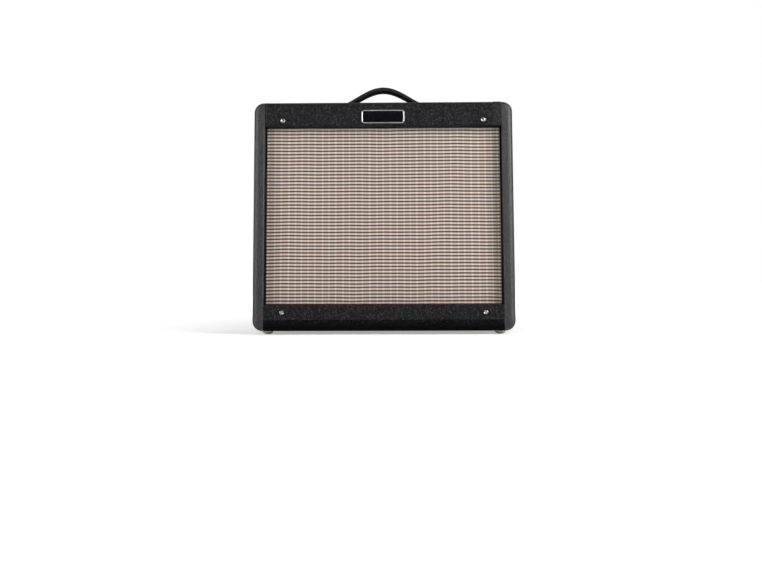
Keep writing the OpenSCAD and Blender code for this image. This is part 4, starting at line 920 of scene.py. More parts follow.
def oval_head(radius, seat, rise, tone=0):
    """Oval screw head with a cross recess. Height over the polar grid = a dome, less the recess depth wherever the
    point lies in one of two crossed slots; the slots' edges are eased over a quarter of their width."""
    t = np.arange(48) * 2 * math.pi / 48
    r = radius * np.linspace(0.02, 1, 15)[::-1, None]
    x, y = r * np.cos(t), r * np.sin(t)
    dome = seat + rise * (1 - (r / radius) ** 2)
    half, long_ = radius * 0.15, radius * 0.62

    def inside(a, b):
        return np.clip((half - np.abs(a)) / (half * 0.4) + 0.5, 0,
                       1) * np.clip((long_ - np.abs(b)) / (half * 0.8) + 0.5, 0, 1)

    deep = radius * 0.5 * np.maximum(inside(x, y), inside(y, x)) * (1 - 0.4 * r / radius)
    top = np.stack([x, y, dome - deep], -1)
    foot = np.stack([radius * 0.62 * np.cos(t), radius * 0.62 * np.sin(t), np.full(48, seat - radius * 0.38)], -1)[None]
    edge = np.stack([radius * np.cos(t), radius * np.sin(t), np.full(48, seat - 0.12 * MM)], -1)[None]
    return skin(np.concatenate([foot, edge, top]), tone=tone)


def seats(node):
    """Where each solid of a node sits and which way it faces, from its box: the flattest side of a washer, or the
    end of a screw with the head on it, is told from the board it is on."""
    found = []
    top = span("top_panel")[1][2]
    for lo, hi in solids(node):
        mid = (lo + hi) / 2
        if hi[2] > top + 1 * MM:
            found.append((np.array([mid[0], mid[1], lo[2] if node.endswith("washers") else top]), "up", hi - lo))
        elif mid[1] < 0:
            found.append((np.array([mid[0], hi[1] if node.endswith("washers") else lo[1], mid[2]]), "front", hi - lo))
        else:
            found.append((np.array([mid[0], lo[1] if node.endswith("washers") else hi[1], mid[2]]), "back", hi - lo))
    return found


class AMPLIFIER_OT_fixings(bpy.types.Operator):
    """Oval-head screws in cup washers on the front, back and top"""
    bl_idname = "amplifier.fixings"
    bl_label = "Screws and cup washers"

    def execute(self, context):
        """Each washer stands where its solid does, and each head is turned its own way."""
        washers = seats("cup_washers")
        radius = max(washers[0][2][0], washers[0][2][2]) / 2
        height = 2.2 * MM
        shown = radius - 0.8 * MM      # the pressed rim is a little smaller than its solid
        parts = [put(cup(shown, height, 2.3 * MM), at, facing) for at, facing, _ in washers]
        piece("cup_washer_set", parts, [polished_nickel], instead=["cup_washers"], sharp=30)
        turns = np.random.default_rng(5).uniform(0, math.pi / 2, len(washers))
        heads = [put(oval_head(shown - 1.5 * MM, height - 0.1 * MM, 0.6 * MM), at, facing, turn)
                 for (at, facing, _), turn in zip(washers, turns)]
        shanks = []
        for node in ("rail_screws", "back_panel_screws", "chassis_screws"):
            for lo, hi in solids(node):
                mid, size = (lo + hi) / 2, hi - lo
                axis = int(np.argmax(size))
                facing = "up" if axis == 2 else ("front" if mid[1] < 0 else "back")
                length = size[axis] - 2.6 * MM
                at = np.array(mid)
                at[axis] = hi[2] - 1.2 * MM if axis == 2 else (lo[1] + 1.2 * MM if mid[1] < 0 else hi[1] - 1.2 * MM)
                shanks.append(put(thread(2.1 * MM, length), at, facing))
        piece("oval_screw_set", heads + shanks, [polished_nickel],
              instead=["rail_screws", "back_panel_screws", "chassis_screws"], sharp=30)
        return {"FINISHED"}


def thread(radius, length):
    """Screw shank that runs down from Z = 0 to a point: the radius falls and rises by a sine each 1.6 mm."""
    z = np.linspace(0, -length, max(int(length / (0.4 * MM)), 8))
    r = radius * (0.86 + 0.14 * np.cos(2 * math.pi * z / (1.6 * MM))) * np.clip((z + length) / (5 * MM) + 0.1, 0,
                                                                                1) ** 0.6
    return lathe(np.stack([r, z], 1), 14)


class AMPLIFIER_OT_badge(bpy.types.Operator):
    """Plain dark badge in its bright frame"""
    bl_idname = "amplifier.badge"
    bl_label = "Badge"

    def execute(self, context):
        """The frame is a rounded rectangle's outline carried over a domed bar, and the plate is a shallow pillow."""
        lo, hi, mid = span("nameplate_frame")
        w, h = hi[0] - lo[0], hi[2] - lo[2]
        proud = hi[1] - lo[1]
        bar = (w - (span("nameplate_insert")[1][0] - span("nameplate_insert")[0][0])) / 2
        bar = max(bar, 1.9 * MM)
        t = np.linspace(0, math.pi, 13)
        profile = [(0, 0), *[(bar / 2 - bar / 2 * math.cos(a), proud * (0.35 + 0.65 * math.sin(a))) for a in t],
                   (bar, 0)]
        at = (mid[0], hi[1], mid[2])
        piece("badge_frame", [put(plate(w, h, 5 * MM, profile, loop=True, per=10), at, "front")], [bright_chrome],
              instead=["nameplate_frame"], sharp=50)
        d = bar - 0.15 * MM
        rows = [(d, 0.0), (d, proud * 0.42), (d + 0.4 * MM, proud * 0.5), (d + 3 * MM, proud * 0.53),
                (d + 7 * MM, proud * 0.54)]
        piece("badge_plate", [put(plate(w, h, 5 * MM, rows, per=10), at, "front")], [badge_lacquer],
              instead=["nameplate_insert"], sharp=50)
        return {"FINISHED"}


class AMPLIFIER_OT_glides(bpy.types.Operator):
    """Nickel glides under the corners"""
    bl_idname = "amplifier.glides"
    bl_label = "Glides"

    def execute(self, context):
        """A dome of revolution: its profile is a flat flange, a short wall and a quarter of an ellipse to the floor."""
        parts = []
        for lo, hi in solids("glides"):
            mid, r, h = (lo + hi) / 2, (hi[0] - lo[0]) / 2, hi[2] - lo[2]
            t = np.linspace(0, math.pi / 2, 12)
            profile = [(0.2 * r, h), (r, h), (r, h * 0.86), (r * 0.93, h * 0.8),
                       *zip(r * 0.9 * np.cos(t[:-1]), h * 0.78 * (1 - np.sin(t[:-1]))), (r * 0.03, 0)]
            parts.append(put(lathe(profile, 48), (mid[0], mid[1], lo[2])))
        piece("glide_set", parts, [glide_nickel], instead=["glides"], sharp=35)
        return {"FINISHED"}


class AMPLIFIER_OT_handle(bpy.types.Operator):
    """Arched strap handle, its bright end caps and their screws"""
    bl_idname = "amplifier.handle"
    bl_label = "Handle"

    def execute(self, context):
        """The strap's upper line is a raised cosine between its flat ends, and its thickness falls from the middle to
        the ends as a power of a cosine. The section is a rounded rectangle with a raised bead along each edge."""
        lo, hi, mid = span("handle_strap")
        top = span("top_panel")[1][2]
        caps = solids("handle_caps")
        cap_l, cap_w = caps[0][1][0] - caps[0][0][0], caps[0][1][1] - caps[0][0][1]
        cap_h = caps[0][1][2] - caps[0][0][2]
        centre = (caps[1][0][0] + caps[1][1][0]) / 2
        reach = centre - cap_l / 2 + 4 * MM
        foot, end_t, thick = 4.2 * MM, 3.6 * MM, 8.6 * MM
        x = np.linspace(lo[0], hi[0], 161)
        u = np.clip(np.abs(x) / reach, 0, 1)
        upper = top + foot + (hi[2] - top - foot) * (1 + np.cos(math.pi * u)) / 2
        t = end_t + (thick - end_t) * np.cos(math.pi / 2 * u) ** 0.8
        path = np.stack([x, np.full(161, mid[1]), upper - t / 2], 1)
        width = hi[1] - lo[1]
        section = outline(width, thick, 3.1 * MM, 9)
        rim = np.exp(-((np.abs(section[:, 0]) - width * 0.36) / (1.6 * MM)) ** 2)
        section[:, 1] -= np.sign(section[:, 1]) * 0.55 * MM * (1 - rim) * (np.abs(section[:, 1]) > thick * 0.4)
        scale = np.stack([np.ones(161), t / thick], 1)
        strap = carry(path, section, up=(0, 0, 1), scale=scale)
        stitches = []
        for side in (-1, 1):
            for k in np.arange(-15, 16):
                sx = k * 5.2 * MM
                su = abs(sx) / reach
                sz = top + foot + (hi[2] - top - foot) * (1 + math.cos(math.pi * su)) / 2
                slope = -(hi[2] - top - foot) / 2 * math.pi / reach * math.sin(math.pi * su) * np.sign(sx)
                step = np.linspace(-1.5, 1.5, 7) * MM
                line = np.stack([sx + step, np.full(7, mid[1] + side * width * 0.255),
                                 sz - 0.5 * MM + slope * step + 0.16 * MM * np.cos(step / (1.5 * MM) * math.pi / 2)], 1)
                stitches.append(carry(line, ring_xy(0.3 * MM, 6), tone=1))
        piece("handle_strap_cover", [strap] + stitches, [moulded_vinyl, cable_jacket],
              instead=["handle_strap"], sharp=60)
        covers, heads = [], []
        for k, (c_lo, c_hi) in enumerate(caps):
            at = np.array([(c_lo[0] + c_hi[0]) / 2, (c_lo[1] + c_hi[1]) / 2, c_lo[2]])
            covers.append(end_cap(at, cap_l, cap_w, cap_h, 1 if k else -1))
        for s_lo, s_hi in solids("handle_screws"):
            at = ((s_lo[0] + s_hi[0]) / 2, (s_lo[1] + s_hi[1]) / 2, s_hi[2] - 1.6 * MM)
            heads.append(put(oval_head(4.2 * MM, 0.9 * MM, 0.7 * MM), at, "up", 0.5 if s_lo[0] > 0 else 1.1))
            heads.append(put(thread(2.1 * MM, s_hi[2] - s_lo[2] - 1.8 * MM), at, "up"))
        piece("handle_end_caps", covers, [bright_chrome], instead=["handle_caps"], sharp=40)
        piece("handle_screw_pair", heads, [polished_nickel], instead=["handle_screws"], sharp=30)
        return {"FINISHED"}


def end_cap(at, length, width, height, side):
    """Pressed cap over the end of the strap: a rounded hood whose rows run along X. Each row is a section across Y of
    two curves, outside and 1.4 mm inside, and the hood drops to the board at its outer end like a quarter of
    an ellipse."""
    u = np.linspace(0, 1, 22)
    fall = np.sqrt(np.clip(1 - np.clip((u - 0.7) / 0.3, 0, 1) ** 2.4, 0.0, 1))
    x = side * (u - 0.5) * length
    t = np.linspace(0, math.pi, 25)
    across = -np.sign(np.cos(t)) * np.abs(np.cos(t)) ** 0.42
    rise = np.abs(np.sin(t)) ** 0.42
    pinch = 1 - 0.12 * u ** 3
    outside = np.stack([np.repeat(x[:, None], 25, 1), pinch[:, None] * across * width / 2,
                        rise * height * fall[:, None] + 0 * pinch[:, None]], -1)
    wall = 1.3 * MM
    inner_x = np.repeat((x - side * wall * (u > 0.5) * u)[:, None], 25, 1)
    inside = np.stack([inner_x, pinch[:, None] * across * (width / 2 - wall),
                       rise * np.clip(height * fall[:, None] - wall, 0, None)], -1)
    rings = np.concatenate([outside, inside[:, ::-1]], 1)
    points, quads, tris, tone = skin(rings)
    return points + at, quads, tris, tone


# ---------------------------------------------------------------- controls on the top panel

KNOBS = ("volume_knob", "treble_knob", "bass_knob", "middle_knob", "master_knob", "reverb_knob")


class AMPLIFIER_OT_knobs(bpy.types.Operator):
    """Pointer knobs with their shafts"""
    bl_idname = "amplifier.knobs"
    bl_label = "Pointer knobs"

    def execute(self, context):
        """Skirt and grip are one surface of revolution, and the pointer is a tapered wedge: at each height its outline
        is a long teardrop whose half width falls from 5.3 mm at the back to 1.7 mm at the tip."""
        for name in KNOBS:
            boxes = solids(name)
            lo, hi = max(boxes, key=lambda b: b[1][0] - b[0][0])
            s_lo, s_hi = min(boxes, key=lambda b: b[1][0] - b[0][0])
            x, r = (lo[0] + hi[0]) / 2, (hi[0] - lo[0]) / 2
            y, h = hi[1] - r, hi[2] - lo[2]
            tip = y - lo[1] - 0.4 * MM
            body = lathe([(r * 0.97, 0), (r, 0.4 * MM), (r, 2.2 * MM), (r - 0.7 * MM, 3 * MM), (6.6 * MM, 3.3 * MM),
                          (6.2 * MM, 5 * MM), (6.0 * MM, h - 1.2 * MM), (5.4 * MM, h - 0.5 * MM),
                          (3.5 * MM, h - 0.25 * MM),
                          (0.2 * MM, h - 0.2 * MM)], 64,
                         lobes=lambda t, row: 1 + 0.012 * np.cos(24 * t) * ((row > 0) & (row < 3)))
            t = np.linspace(0, 2 * math.pi, 48, endpoint=False)
            back = 6.0 * MM
            along = (back - tip) / 2 + (back + tip) / 2 * np.cos(t)
            share = np.clip((back - along) / (back + tip), 0, 1)
            wide = np.sign(np.sin(t)) * np.abs(np.sin(t)) ** 0.55 * (5.3 - 3.6 * share) * MM
            levels = [(1.0, 0.3 * MM), (1.0, h - 2.6 * MM), (0.93, h - 1.1 * MM), (0.74, h - 0.35 * MM),
                      (0.35, h - 0.05 * MM)]
            wedge = skin(np.array([np.stack([wide * k, along * (0.985 if k < 0.9 else 1), np.full(48, z)], 1)
                                   for k, z in levels]))
            line = plate(0.9 * MM, tip + 1.5 * MM, 0.45 * MM, [(0, h - 0.3 * MM), (0, h), (0.12 * MM, h + 0.05 * MM)],
                         tone=1, per=4)
            line = put(line, (0, -(tip - 2.2 * MM) / 2 - 0.2 * MM, 0))
            shaft = lathe([(s * (s_hi[0] - s_lo[0]) / 2, z) for s,
                           z in ((0.9, s_lo[2] - lo[2]), (1, s_lo[2] - lo[2] + 0.4 * MM),
                                                                        (1, h * 0.6))], 28, tone=2)
            parts = [put(part, (x, y, lo[2])) for part in (body, wedge, line, shaft)]
            piece(name + "_pointer", parts, [smooth_black_abs, legend_ink, pot_can], body=name,
                  instead=[name], sharp=34)
        return {"FINISHED"}


def glyph(text, size):
    """A numeral as a flat closed solid about the origin, from the built-in typeface, in one mesh of triangles."""
    curve = bpy.data.curves.new("numeral", "FONT")
    curve.body, curve.size, curve.extrude = text, size, 0.03 * MM
    curve.align_x, curve.align_y, curve.resolution_u = "CENTER", "CENTER", 3
    made = bpy.data.objects.new("numeral", curve)
    bpy.context.collection.objects.link(made)
    bpy.context.view_layer.update()
    mesh = made.evaluated_get(bpy.context.evaluated_depsgraph_get()).to_mesh()
    mesh.calc_loop_triangles()
    co = np.empty(len(mesh.vertices) * 3)
    mesh.vertices.foreach_get("co", co)
    tri = np.empty(len(mesh.loop_triangles) * 3, int)
    mesh.loop_triangles.foreach_get("vertices", tri)
    bpy.data.objects.remove(made)
    bpy.data.curves.remove(curve)
    return co.reshape(-1, 3), np.empty((0, 4), int), tri.reshape(-1, 3), 0


class AMPLIFIER_OT_panel(bpy.types.Operator):
    """Bright control panel with its printed dials, nuts, lamp, button, sockets and switch"""
    bl_idname = "amplifier.panel"
    bl_label = "Control panel"

    def execute(self, context):
        """Dial marks are thin bars on a circle round each shaft, from -150 to 150 degrees, with numerals 1 to 12."""
        dress(["control_panel"], brushed_chrome)
        dress(["chassis"], chassis_steel)
        dress(["mains_inlet", "fuse_holder", "switch_bodies", "jack_sockets"], smooth_black_abs)
        dress(["pot_bodies", "pilot_bezel"], pot_can)
        dress(["circuit_board"], circuit_laminate)
        panel_top = span("control_panel")[1][2]
        parts = []
        digits = [glyph(str(k + 1), 3.0 * MM) for k in range(12)]
        for name in KNOBS:
            lo, hi = max(solids(name), key=lambda b: b[1][0] - b[0][0])
            x, r = (lo[0] + hi[0]) / 2, (hi[0] - lo[0]) / 2
            y = hi[1] - r
            for k in range(12):
                turn = math.radians(-150 + 300 * k / 11)
                way = np.array([math.sin(turn), -math.cos(turn) * 1.0, 0]) * [-1, 1, 1]
                bar = plate(0.45 * MM, 2.1 * MM, 0.1 * MM, [(0, -0.02 * MM), (0, 0.06 * MM)], per=2)
                parts.append(put(bar, np.array([x, y, panel_top]) + way * 12.2 * MM, "up",
                                 math.atan2(way[1], way[0]) + math.pi / 2))
                parts.append(put(digits[k], np.array([x, y, panel_top + 0.03 * MM]) + way * 15.6 * MM))
        ring = lathe([(4.6 * MM, 0), (4.6 * MM, 0.06 * MM), (4.2 * MM, 0.06 * MM), (4.2 * MM, 0)], 40, loop=True)
        for box in solids("boost_button") + solids("pilot_jewel"):
            mid = (box[0] + box[1]) / 2
            parts.append(put((ring[0] * [2.3, 2.3, 1], *ring[1:]), (mid[0], mid[1], panel_top)))
        for sx in (-1, 1):
            line = plate(0.5 * MM, 40 * MM, 0.1 * MM, [(0, -0.02 * MM), (0, 0.06 * MM)], per=2)
            lo, hi, mid = span("control_panel")
            parts.append(put(line, (mid[0] + sx * (hi[0] - 7 * MM), mid[1], panel_top)))
        piece("dial_marks", parts, [black_ink], sharp=20)

        nuts = []
        for lo, hi in solids("panel_nuts"):
            mid, r, h = (lo + hi) / 2, (hi[1] - lo[1]) / 2, hi[2] - lo[2]
            bore = r * 0.62
            six = 2 * math.pi / 6
            corner = lambda t, row: 1 + (1 / np.cos((t + six / 2) % six - six / 2) * 0.93 - 1) * ((row > 0) & (row < 3))
            ring = lathe([(bore, 0.4 * MM), (r, 0.4 * MM), (r, h - 0.35 * MM), (r * 0.9, h), (bore, h)], 72,
                         loop=True, lobes=corner)
            washer = lathe([(bore, 0), (r * 1.12, 0), (r * 1.12, 0.35 * MM), (bore, 0.35 * MM)], 48, loop=True)
            nuts += [put(ring, (mid[0], mid[1], lo[2])), put(washer, (mid[0], mid[1], lo[2]))]
        piece("panel_nut_set", nuts, [polished_nickel], instead=["panel_nuts"], sharp=25)

        lo, hi, mid = span("pilot_jewel")
        r, h = (hi[0] - lo[0]) / 2, hi[2] - lo[2]
        cut = lathe([(r * k, h * z) for k,
                     z in ((0.9, 0), (1, 0.08), (1, 0.5), (0.86, 0.68), (0.62, 0.86), (0.3, 0.97), (0.04, 1))],
                    12, lobes=lambda t, row: 1 + 0.05 * (row % 2) * np.cos(6 * t))
        piece("pilot_lens", [put(cut, (mid[0], mid[1], lo[2]))], [ruby_lens], instead=["pilot_jewel"],
              sharp=8)

        lo, hi, mid = span("boost_button")
        r, h = (hi[0] - lo[0]) / 2, hi[2] - lo[2]
        cap = lathe([(r * 0.98, 0), (r, 0.2 * MM), (r, h - 1 * MM), (r * 0.93, h - 0.3 * MM), (r * 0.7, h),
                     (r * 0.4, h - 0.35 * MM),
                     (r * 0.05, h - 0.45 * MM)], 40)
        piece("boost_button_cap", [put(cap, (mid[0], mid[1], lo[2]))], [smooth_black_abs], body="boost_button",
              instead=["boost_button"], sharp=40)

        # The lever leans towards the front or back of its pivot as far as its box says
        lo, hi, mid = span("power_toggle")
        joint = next(j for j in frame["joints"] if j["name"] == "power_flip")
        foot = np.array([mid[0], *joint["pos_m"][1:]])
        head = np.array([mid[0], hi[1] - 2.6 * MM if hi[1] - foot[1] > foot[1] - lo[1] else lo[1] + 2.6 * MM,
                         hi[2] - 2.6 * MM])
        u = np.linspace(0, 1, 20)
        path = foot + u[:, None] * (head - foot)
        reach = np.linalg.norm(head - foot)
        path = np.vstack([foot - (head - foot) / reach * 2.4 * MM, path, head + (head - foot) / reach * 2.3 * MM])
        d = np.concatenate([[-2.4 * MM], u * reach, [reach + 2.3 * MM]])
        radius = np.where(d < 2.2 * MM, np.sqrt(np.clip((2.7 * MM) ** 2 - np.minimum(d, 2.2 * MM) ** 2, 1e-8, None)),
                          1.6 * MM)
        radius = np.maximum(np.where(d > 2.2 * MM, 1.5 * MM + 1.05 * MM * (d / reach) ** 1.5, radius), 0.2 * MM)
        radius = np.where(d > reach, 1.3 * MM, radius)
        bat = carry(path, ring_xy(1.0, 28), up=(1, 0, 0), scale=np.stack([radius, radius], 1))
        piece("power_lever", [bat], [polished_nickel], body="power_toggle",
              instead=["power_toggle"], sharp=60)
        return {"FINISHED"}


def brushed_chrome(name):
    """Chromed steel of the control panel with a light brushed grain along X under the plating."""
    made, tree, shader, coords = metal(name, "#c9cbce", 0.2)
    stretch = add(tree, "Mapping", {"Scale": (25.0, 2600.0, 2600.0)}, {"Vector": coords.outputs["Object"]})
    lines = add(tree, "TexNoise", {"Scale": 1.0, "Detail": 3.0}, {"Vector": stretch})
    bump(tree, shader, lines.outputs[0], 0.08, 0.0001)
    join(tree, ramp(tree, lines.outputs[0], [(0.3, 0.14), (0.7, 0.27)]), shader, "Roughness")
    return made


def black_ink(name):
    """Black screen-printed ink of the dials: flat, with slightly uneven cover."""
    made, tree, shader, coords = base(name, Base_Color="#101011", Roughness=0.6)
    cover = add(tree, "TexNoise", {"Scale": 2500.0}, {"Vector": coords.outputs["Object"]})
    join(tree, ramp(tree, cover.outputs[0], [(0.3, "#0d0d0e"), (0.7, "#1b1b1c")]), shader, "Base Color")
    return made


# ---------------------------------------------------------------- loudspeaker

def axis_back(part, height):
    """Puts a surface of revolution on the speaker's axis, with its own Z = 0 on the back of the baffle board."""
    _, hi, mid = span("baffle_board")
    return put(part, (mid[0], hi[1], height), "back")


class AMPLIFIER_OT_speaker(bpy.types.Operator):
    """Loudspeaker: ribbed paper cone, dust cap, rolled edge, spider, coil, magnet and bolts"""
    bl_idname = "amplifier.speaker"
    bl_label = "Loudspeaker"

    def execute(self, context):
        """The cone's line is a straight slope bowed by a parabola, with five ribs pressed in its outer half as raised
        cosines. Its edge and the spider are rings of cosine waves, and the dust cap is part of a sphere."""
        dress(["speaker_basket"], basket_paint)
        dress(["speaker_yoke", "speaker_top_plate"], zinc_plate)
        height = span("speaker_cone")[2][2]
        board = span("baffle_board")[1][1]
        lo, hi, _ = span("speaker_cone")
        edge_r, depth = (hi[0] - lo[0]) / 2, hi[1] - board
        neck_r = (span("voice_coil")[1][0] - span("voice_coil")[0][0]) / 2 + 0.1 * MM
        u = np.linspace(0, 1, 120)
        r = neck_r + (edge_r - neck_r) * u
        edge_h = lo[1] - board
        z = depth - 1 * MM + (edge_h - depth + 1 * MM) * (u + 0.22 * u * (1 - u))
        ribs = 0.45 * MM * np.where((u > 0.45) & (u < 0.95), 0.5 - 0.5 * np.cos(2 * math.pi * (u - 0.45) / 0.1), 0)
        shell = np.vstack([np.stack([r, z + ribs], 1), np.stack([r, z + ribs + 0.9 * MM], 1)[::-1]])
        cone = lathe(shell, 128, loop=True)
        piece("paper_cone", [axis_back(cone, height)], [cone_paper], body="speaker_cone",
              instead=["speaker_cone"], sharp=60)
        lo, hi, _ = span("dust_cap")
        cap_r, rise = (hi[0] - lo[0]) / 2, hi[1] - lo[1]
        high = hi[1] - board
        t = np.linspace(1, 0.01, 16)
        dome = np.stack([cap_r * t, high - rise * (1 - t ** 2) * 0.93], 1)
        under = np.stack([(cap_r - 0.5 * MM) * t[::-1], high - rise * (1 - t[::-1] ** 2) * 0.93 + 0.7 * MM], 1)
        under[:, 1] = np.minimum(under[:, 1], high)
        piece("dust_cap_dome", [axis_back(lathe(np.vstack([dome, under]), 96, loop=True), height)], [cone_paper],
              body="speaker_cone", instead=["dust_cap"], sharp=50)
        lo, hi, _ = span("cone_surround")
        out_r, base_h, tall = (hi[0] - lo[0]) / 2, lo[1] - board, hi[1] - lo[1]
        u = np.linspace(0, 1, 49)
        r = edge_r + 0.3 * MM + (out_r - edge_r - 0.3 * MM) * u
        z = base_h + (tall - 0.8 * MM) * (0.5 + 0.5 * np.cos(2 * math.pi * 3 * u))
        roll = lathe(np.vstack([np.stack([r, z], 1), np.stack([r, z + 0.8 * MM], 1)[::-1]]), 128, loop=True)
        piece("rolled_edge", [axis_back(roll, height)], [doped_edge], instead=["cone_surround"],
              sharp=70)
        lo, hi, _ = span("speaker_spider")
        out_r, base_h, tall = (hi[0] - lo[0]) / 2, lo[1] - board, hi[1] - lo[1]
        u = np.linspace(0, 1, 97)
        r = neck_r + 0.5 * MM + (out_r - neck_r - 0.5 * MM) * u
        z = base_h + (tall - 0.7 * MM) * (0.5 + 0.5 * np.cos(2 * math.pi * 6 * u) * np.clip((0.92 - u) / 0.08, 0, 1))
        # The middle is cupped towards the magnet, so that the cone clears it on its back stroke
        cup_depth, cup_width = 5.4 * MM, 9.5 * MM
        z += cup_depth * np.clip(1 - (r - neck_r) / cup_width, 0, 1)
        disc = lathe(np.vstack([np.stack([r, z], 1), np.stack([r, z + 0.7 * MM], 1)[::-1]]), 96, loop=True)
        piece("spider_disc", [axis_back(disc, height)], [spider_cotton],
              instead=["speaker_spider"], sharp=70)
        lo, hi, _ = span("voice_coil")
        c_r, c0, c1 = (hi[0] - lo[0]) / 2, lo[1] - board, hi[1] - board
        z = np.linspace(c0, c1, 61)
        wire = c_r - 0.12 * MM * (0.5 + 0.5 * np.cos(2 * math.pi * (z - c0) / (1.2 * MM))) * (z > c0 + 0.6 * (c1 - c0))
        coil = lathe(np.vstack([np.stack([wire, z], 1), [[c_r - 0.8 * MM, c1], [c_r - 0.8 * MM, c0]]]), 64, loop=True)
        piece("coil_former", [axis_back(coil, height)], [copper_wire], body="speaker_cone",
              instead=["voice_coil"], sharp=50)
        lo, hi, _ = span("speaker_magnet")
        m_r, m0, m1 = (hi[0] - lo[0]) / 2, lo[1] - board, hi[1] - board
        bore = neck_r + 14 * MM
        c = 1.2 * MM
        ring = lathe([(bore, m0), (m_r - c, m0), (m_r, m0 + c), (m_r, m1 - c), (m_r - c, m1), (bore, m1)], 96,
                     loop=True)
        piece("ferrite_ring", [axis_back(ring, height)], [sintered_ferrite],
              instead=["speaker_magnet"], sharp=30)
        bolts = []
        for lo, hi in solids("speaker_bolts"):
            mid = (lo + hi) / 2
            r, end = (hi[0] - lo[0]) / 2, hi[1]
            six = 2 * math.pi / 6
            hexed = lambda t, row: 1 + (0.97 / np.cos((t + six / 2) % six - six / 2) * 0.9 - 1) * (row < 4)
            nut = lathe([(r * 0.3, 0), (r, 0), (r, r * 0.7), (r * 0.88, r * 0.85), (r * 0.45, r * 0.85),
                         (r * 0.45, r * 1.2), (r * 0.1, r * 1.2)],
                        48, lobes=hexed)
            bolts.append(put(nut, (mid[0], end - r * 1.2, mid[2]), "back"))
            bolts.append(put(thread(r * 0.5, hi[1] - lo[1] - r * 1.2), (mid[0], lo[1], mid[2]), "front"))
        piece("speaker_nut_set", bolts, [zinc_plate], instead=["speaker_bolts"], sharp=25)
        return {"FINISHED"}


# ---------------------------------------------------------------- valves, transformers and tank

class AMPLIFIER_OT_valves(bpy.types.Operator):
    """Glass valves with their electrodes, shields and sockets"""
    bl_idname = "amplifier.valves"
    bl_label = "Valves"

    def execute(self, context):
        """The envelope is a wall 0.7 mm thick turned round its axis: a straight side, a shoulder and a drawn tip. The
        anode is a flattened tube with a fin on each side, between two mica discs, over a fan of nine pins."""
        dress(["valve_sockets"], socket_bakelite)
        dress(["valve_shields"], pot_can)
        for node, name, fin in (("power_valves", "power_valve_set", 1.0), ("preamp_valves", "preamp_valve_set", 0.72)):
            parts = []
            for lo, hi in solids(node):
                mid, r, length = (lo + hi) / 2, (hi[0] - lo[0]) / 2, hi[2] - lo[2]
                tip = 4 * MM
                body = length - tip
                t = np.linspace(0, math.pi / 2, 10)
                k = 3.2 * MM
                outer = [(0.3 * MM, 0), (r - 0.8 * MM, 0), (r, 1 * MM),
                         *zip(r - (r - k) * (1 - np.cos(t)) ** 0.9, body - 7 * MM + 7 * MM * np.sin(t) ** 1.1),
                         (k * 0.7, body + 0.8 * MM), (k * 0.45, body + 2.2 * MM), (0.3 * MM, length)]
                w = 0.7 * MM
                inner = [(0.2 * MM, body - w), (k * 0.8, body - w - 0.2 * MM),
                         *[(max(a - w, 0.3 * MM), b - w) for a, b in outer[-4:2:-1]], (r - w, 3 * MM),
                         (r - w - 0.6 * MM, 2 * MM), (0.3 * MM, 2 * MM)]
                glass = lathe(np.array(outer + inner), 48, loop=False)
                plate_h = body * 0.52 if fin == 1.0 else body * 0.45
                z0 = body * 0.2
                anode = put(plate(r * 0.95, r * 0.62, r * 0.3,
                                  [(0.2 * MM, 0), (0, 0.2 * MM), (0, plate_h), (0.2 * MM, plate_h + 0.2 * MM)],
                                  tone=1), (0, 0, z0))
                wings = put(plate(r * 1.5 * fin, 0.5 * MM, 0.1 * MM, [(0, 0), (0, plate_h)], tone=1, per=2),
                            (0, 0, z0 + 0.1 * MM))
                micas = [put(lathe([(0.4 * MM, 0), (r - 1.3 * MM, 0), (r - 1.3 * MM, 0.4 * MM), (0.4 * MM, 0.4 * MM)],
                                   24,
                                   tone=2, lobes=lambda a, row: 1 - 0.06 * (np.cos(8 * a) > 0.4)), (0, 0, z))
                         for z in (z0 - 1 * MM, z0 + plate_h + 0.5 * MM)]
                pins = []
                for a in (np.arange(9) + 0.5) * 2 * math.pi / 10:
                    run = np.linspace(0, 1, 8)[:, None]
                    ends = np.array([[math.cos(a), math.sin(a), 0]])
                    path = ends * (0.55 - 0.2 * run) * r + np.array([[0, 0, 1.0]]) * (1.8 * MM + run * (z0 - 2.8 * MM))
                    pins.append(carry(path, ring_xy(0.35 * MM, 8), up=(math.sin(a), -math.cos(a), 0), tone=1))
                cup_ = put(lathe([(0.3 * MM, 0), (2.2 * MM, 0), (2.6 * MM, 1 * MM), (2.3 * MM, 1 * MM),
                                  (1.9 * MM, 0.3 * MM), (0.2 * MM, 0.3 * MM)], 24, tone=3),
                           (0, 0, z0 + plate_h + 3.2 * MM))
                flash = lathe([(r - w - 0.1 * MM, body - 12 * MM), (r - w - 0.1 * MM, body - 8 * MM),
                               (r * 0.8 - w, body - 4.2 * MM), (r * 0.5, body - 2.2 * MM),
                               (r * 0.46, body - 2.4 * MM), (r * 0.76 - w, body - 4.5 * MM),
                               (r - w - 0.3 * MM, body - 8 * MM), (r - w - 0.25 * MM, body - 12 * MM)],
                              40, loop=True, tone=3)
                for part in [glass, anode, wings, cup_, flash, *micas, *pins]:
                    parts.append(put(part, (mid[0], mid[1], hi[2]), "down"))
            piece(name, parts, [clear_glass, electrode_grey, mica_sheet, getter_silver],
                  instead=[node], sharp=40)
        return {"FINISHED"}


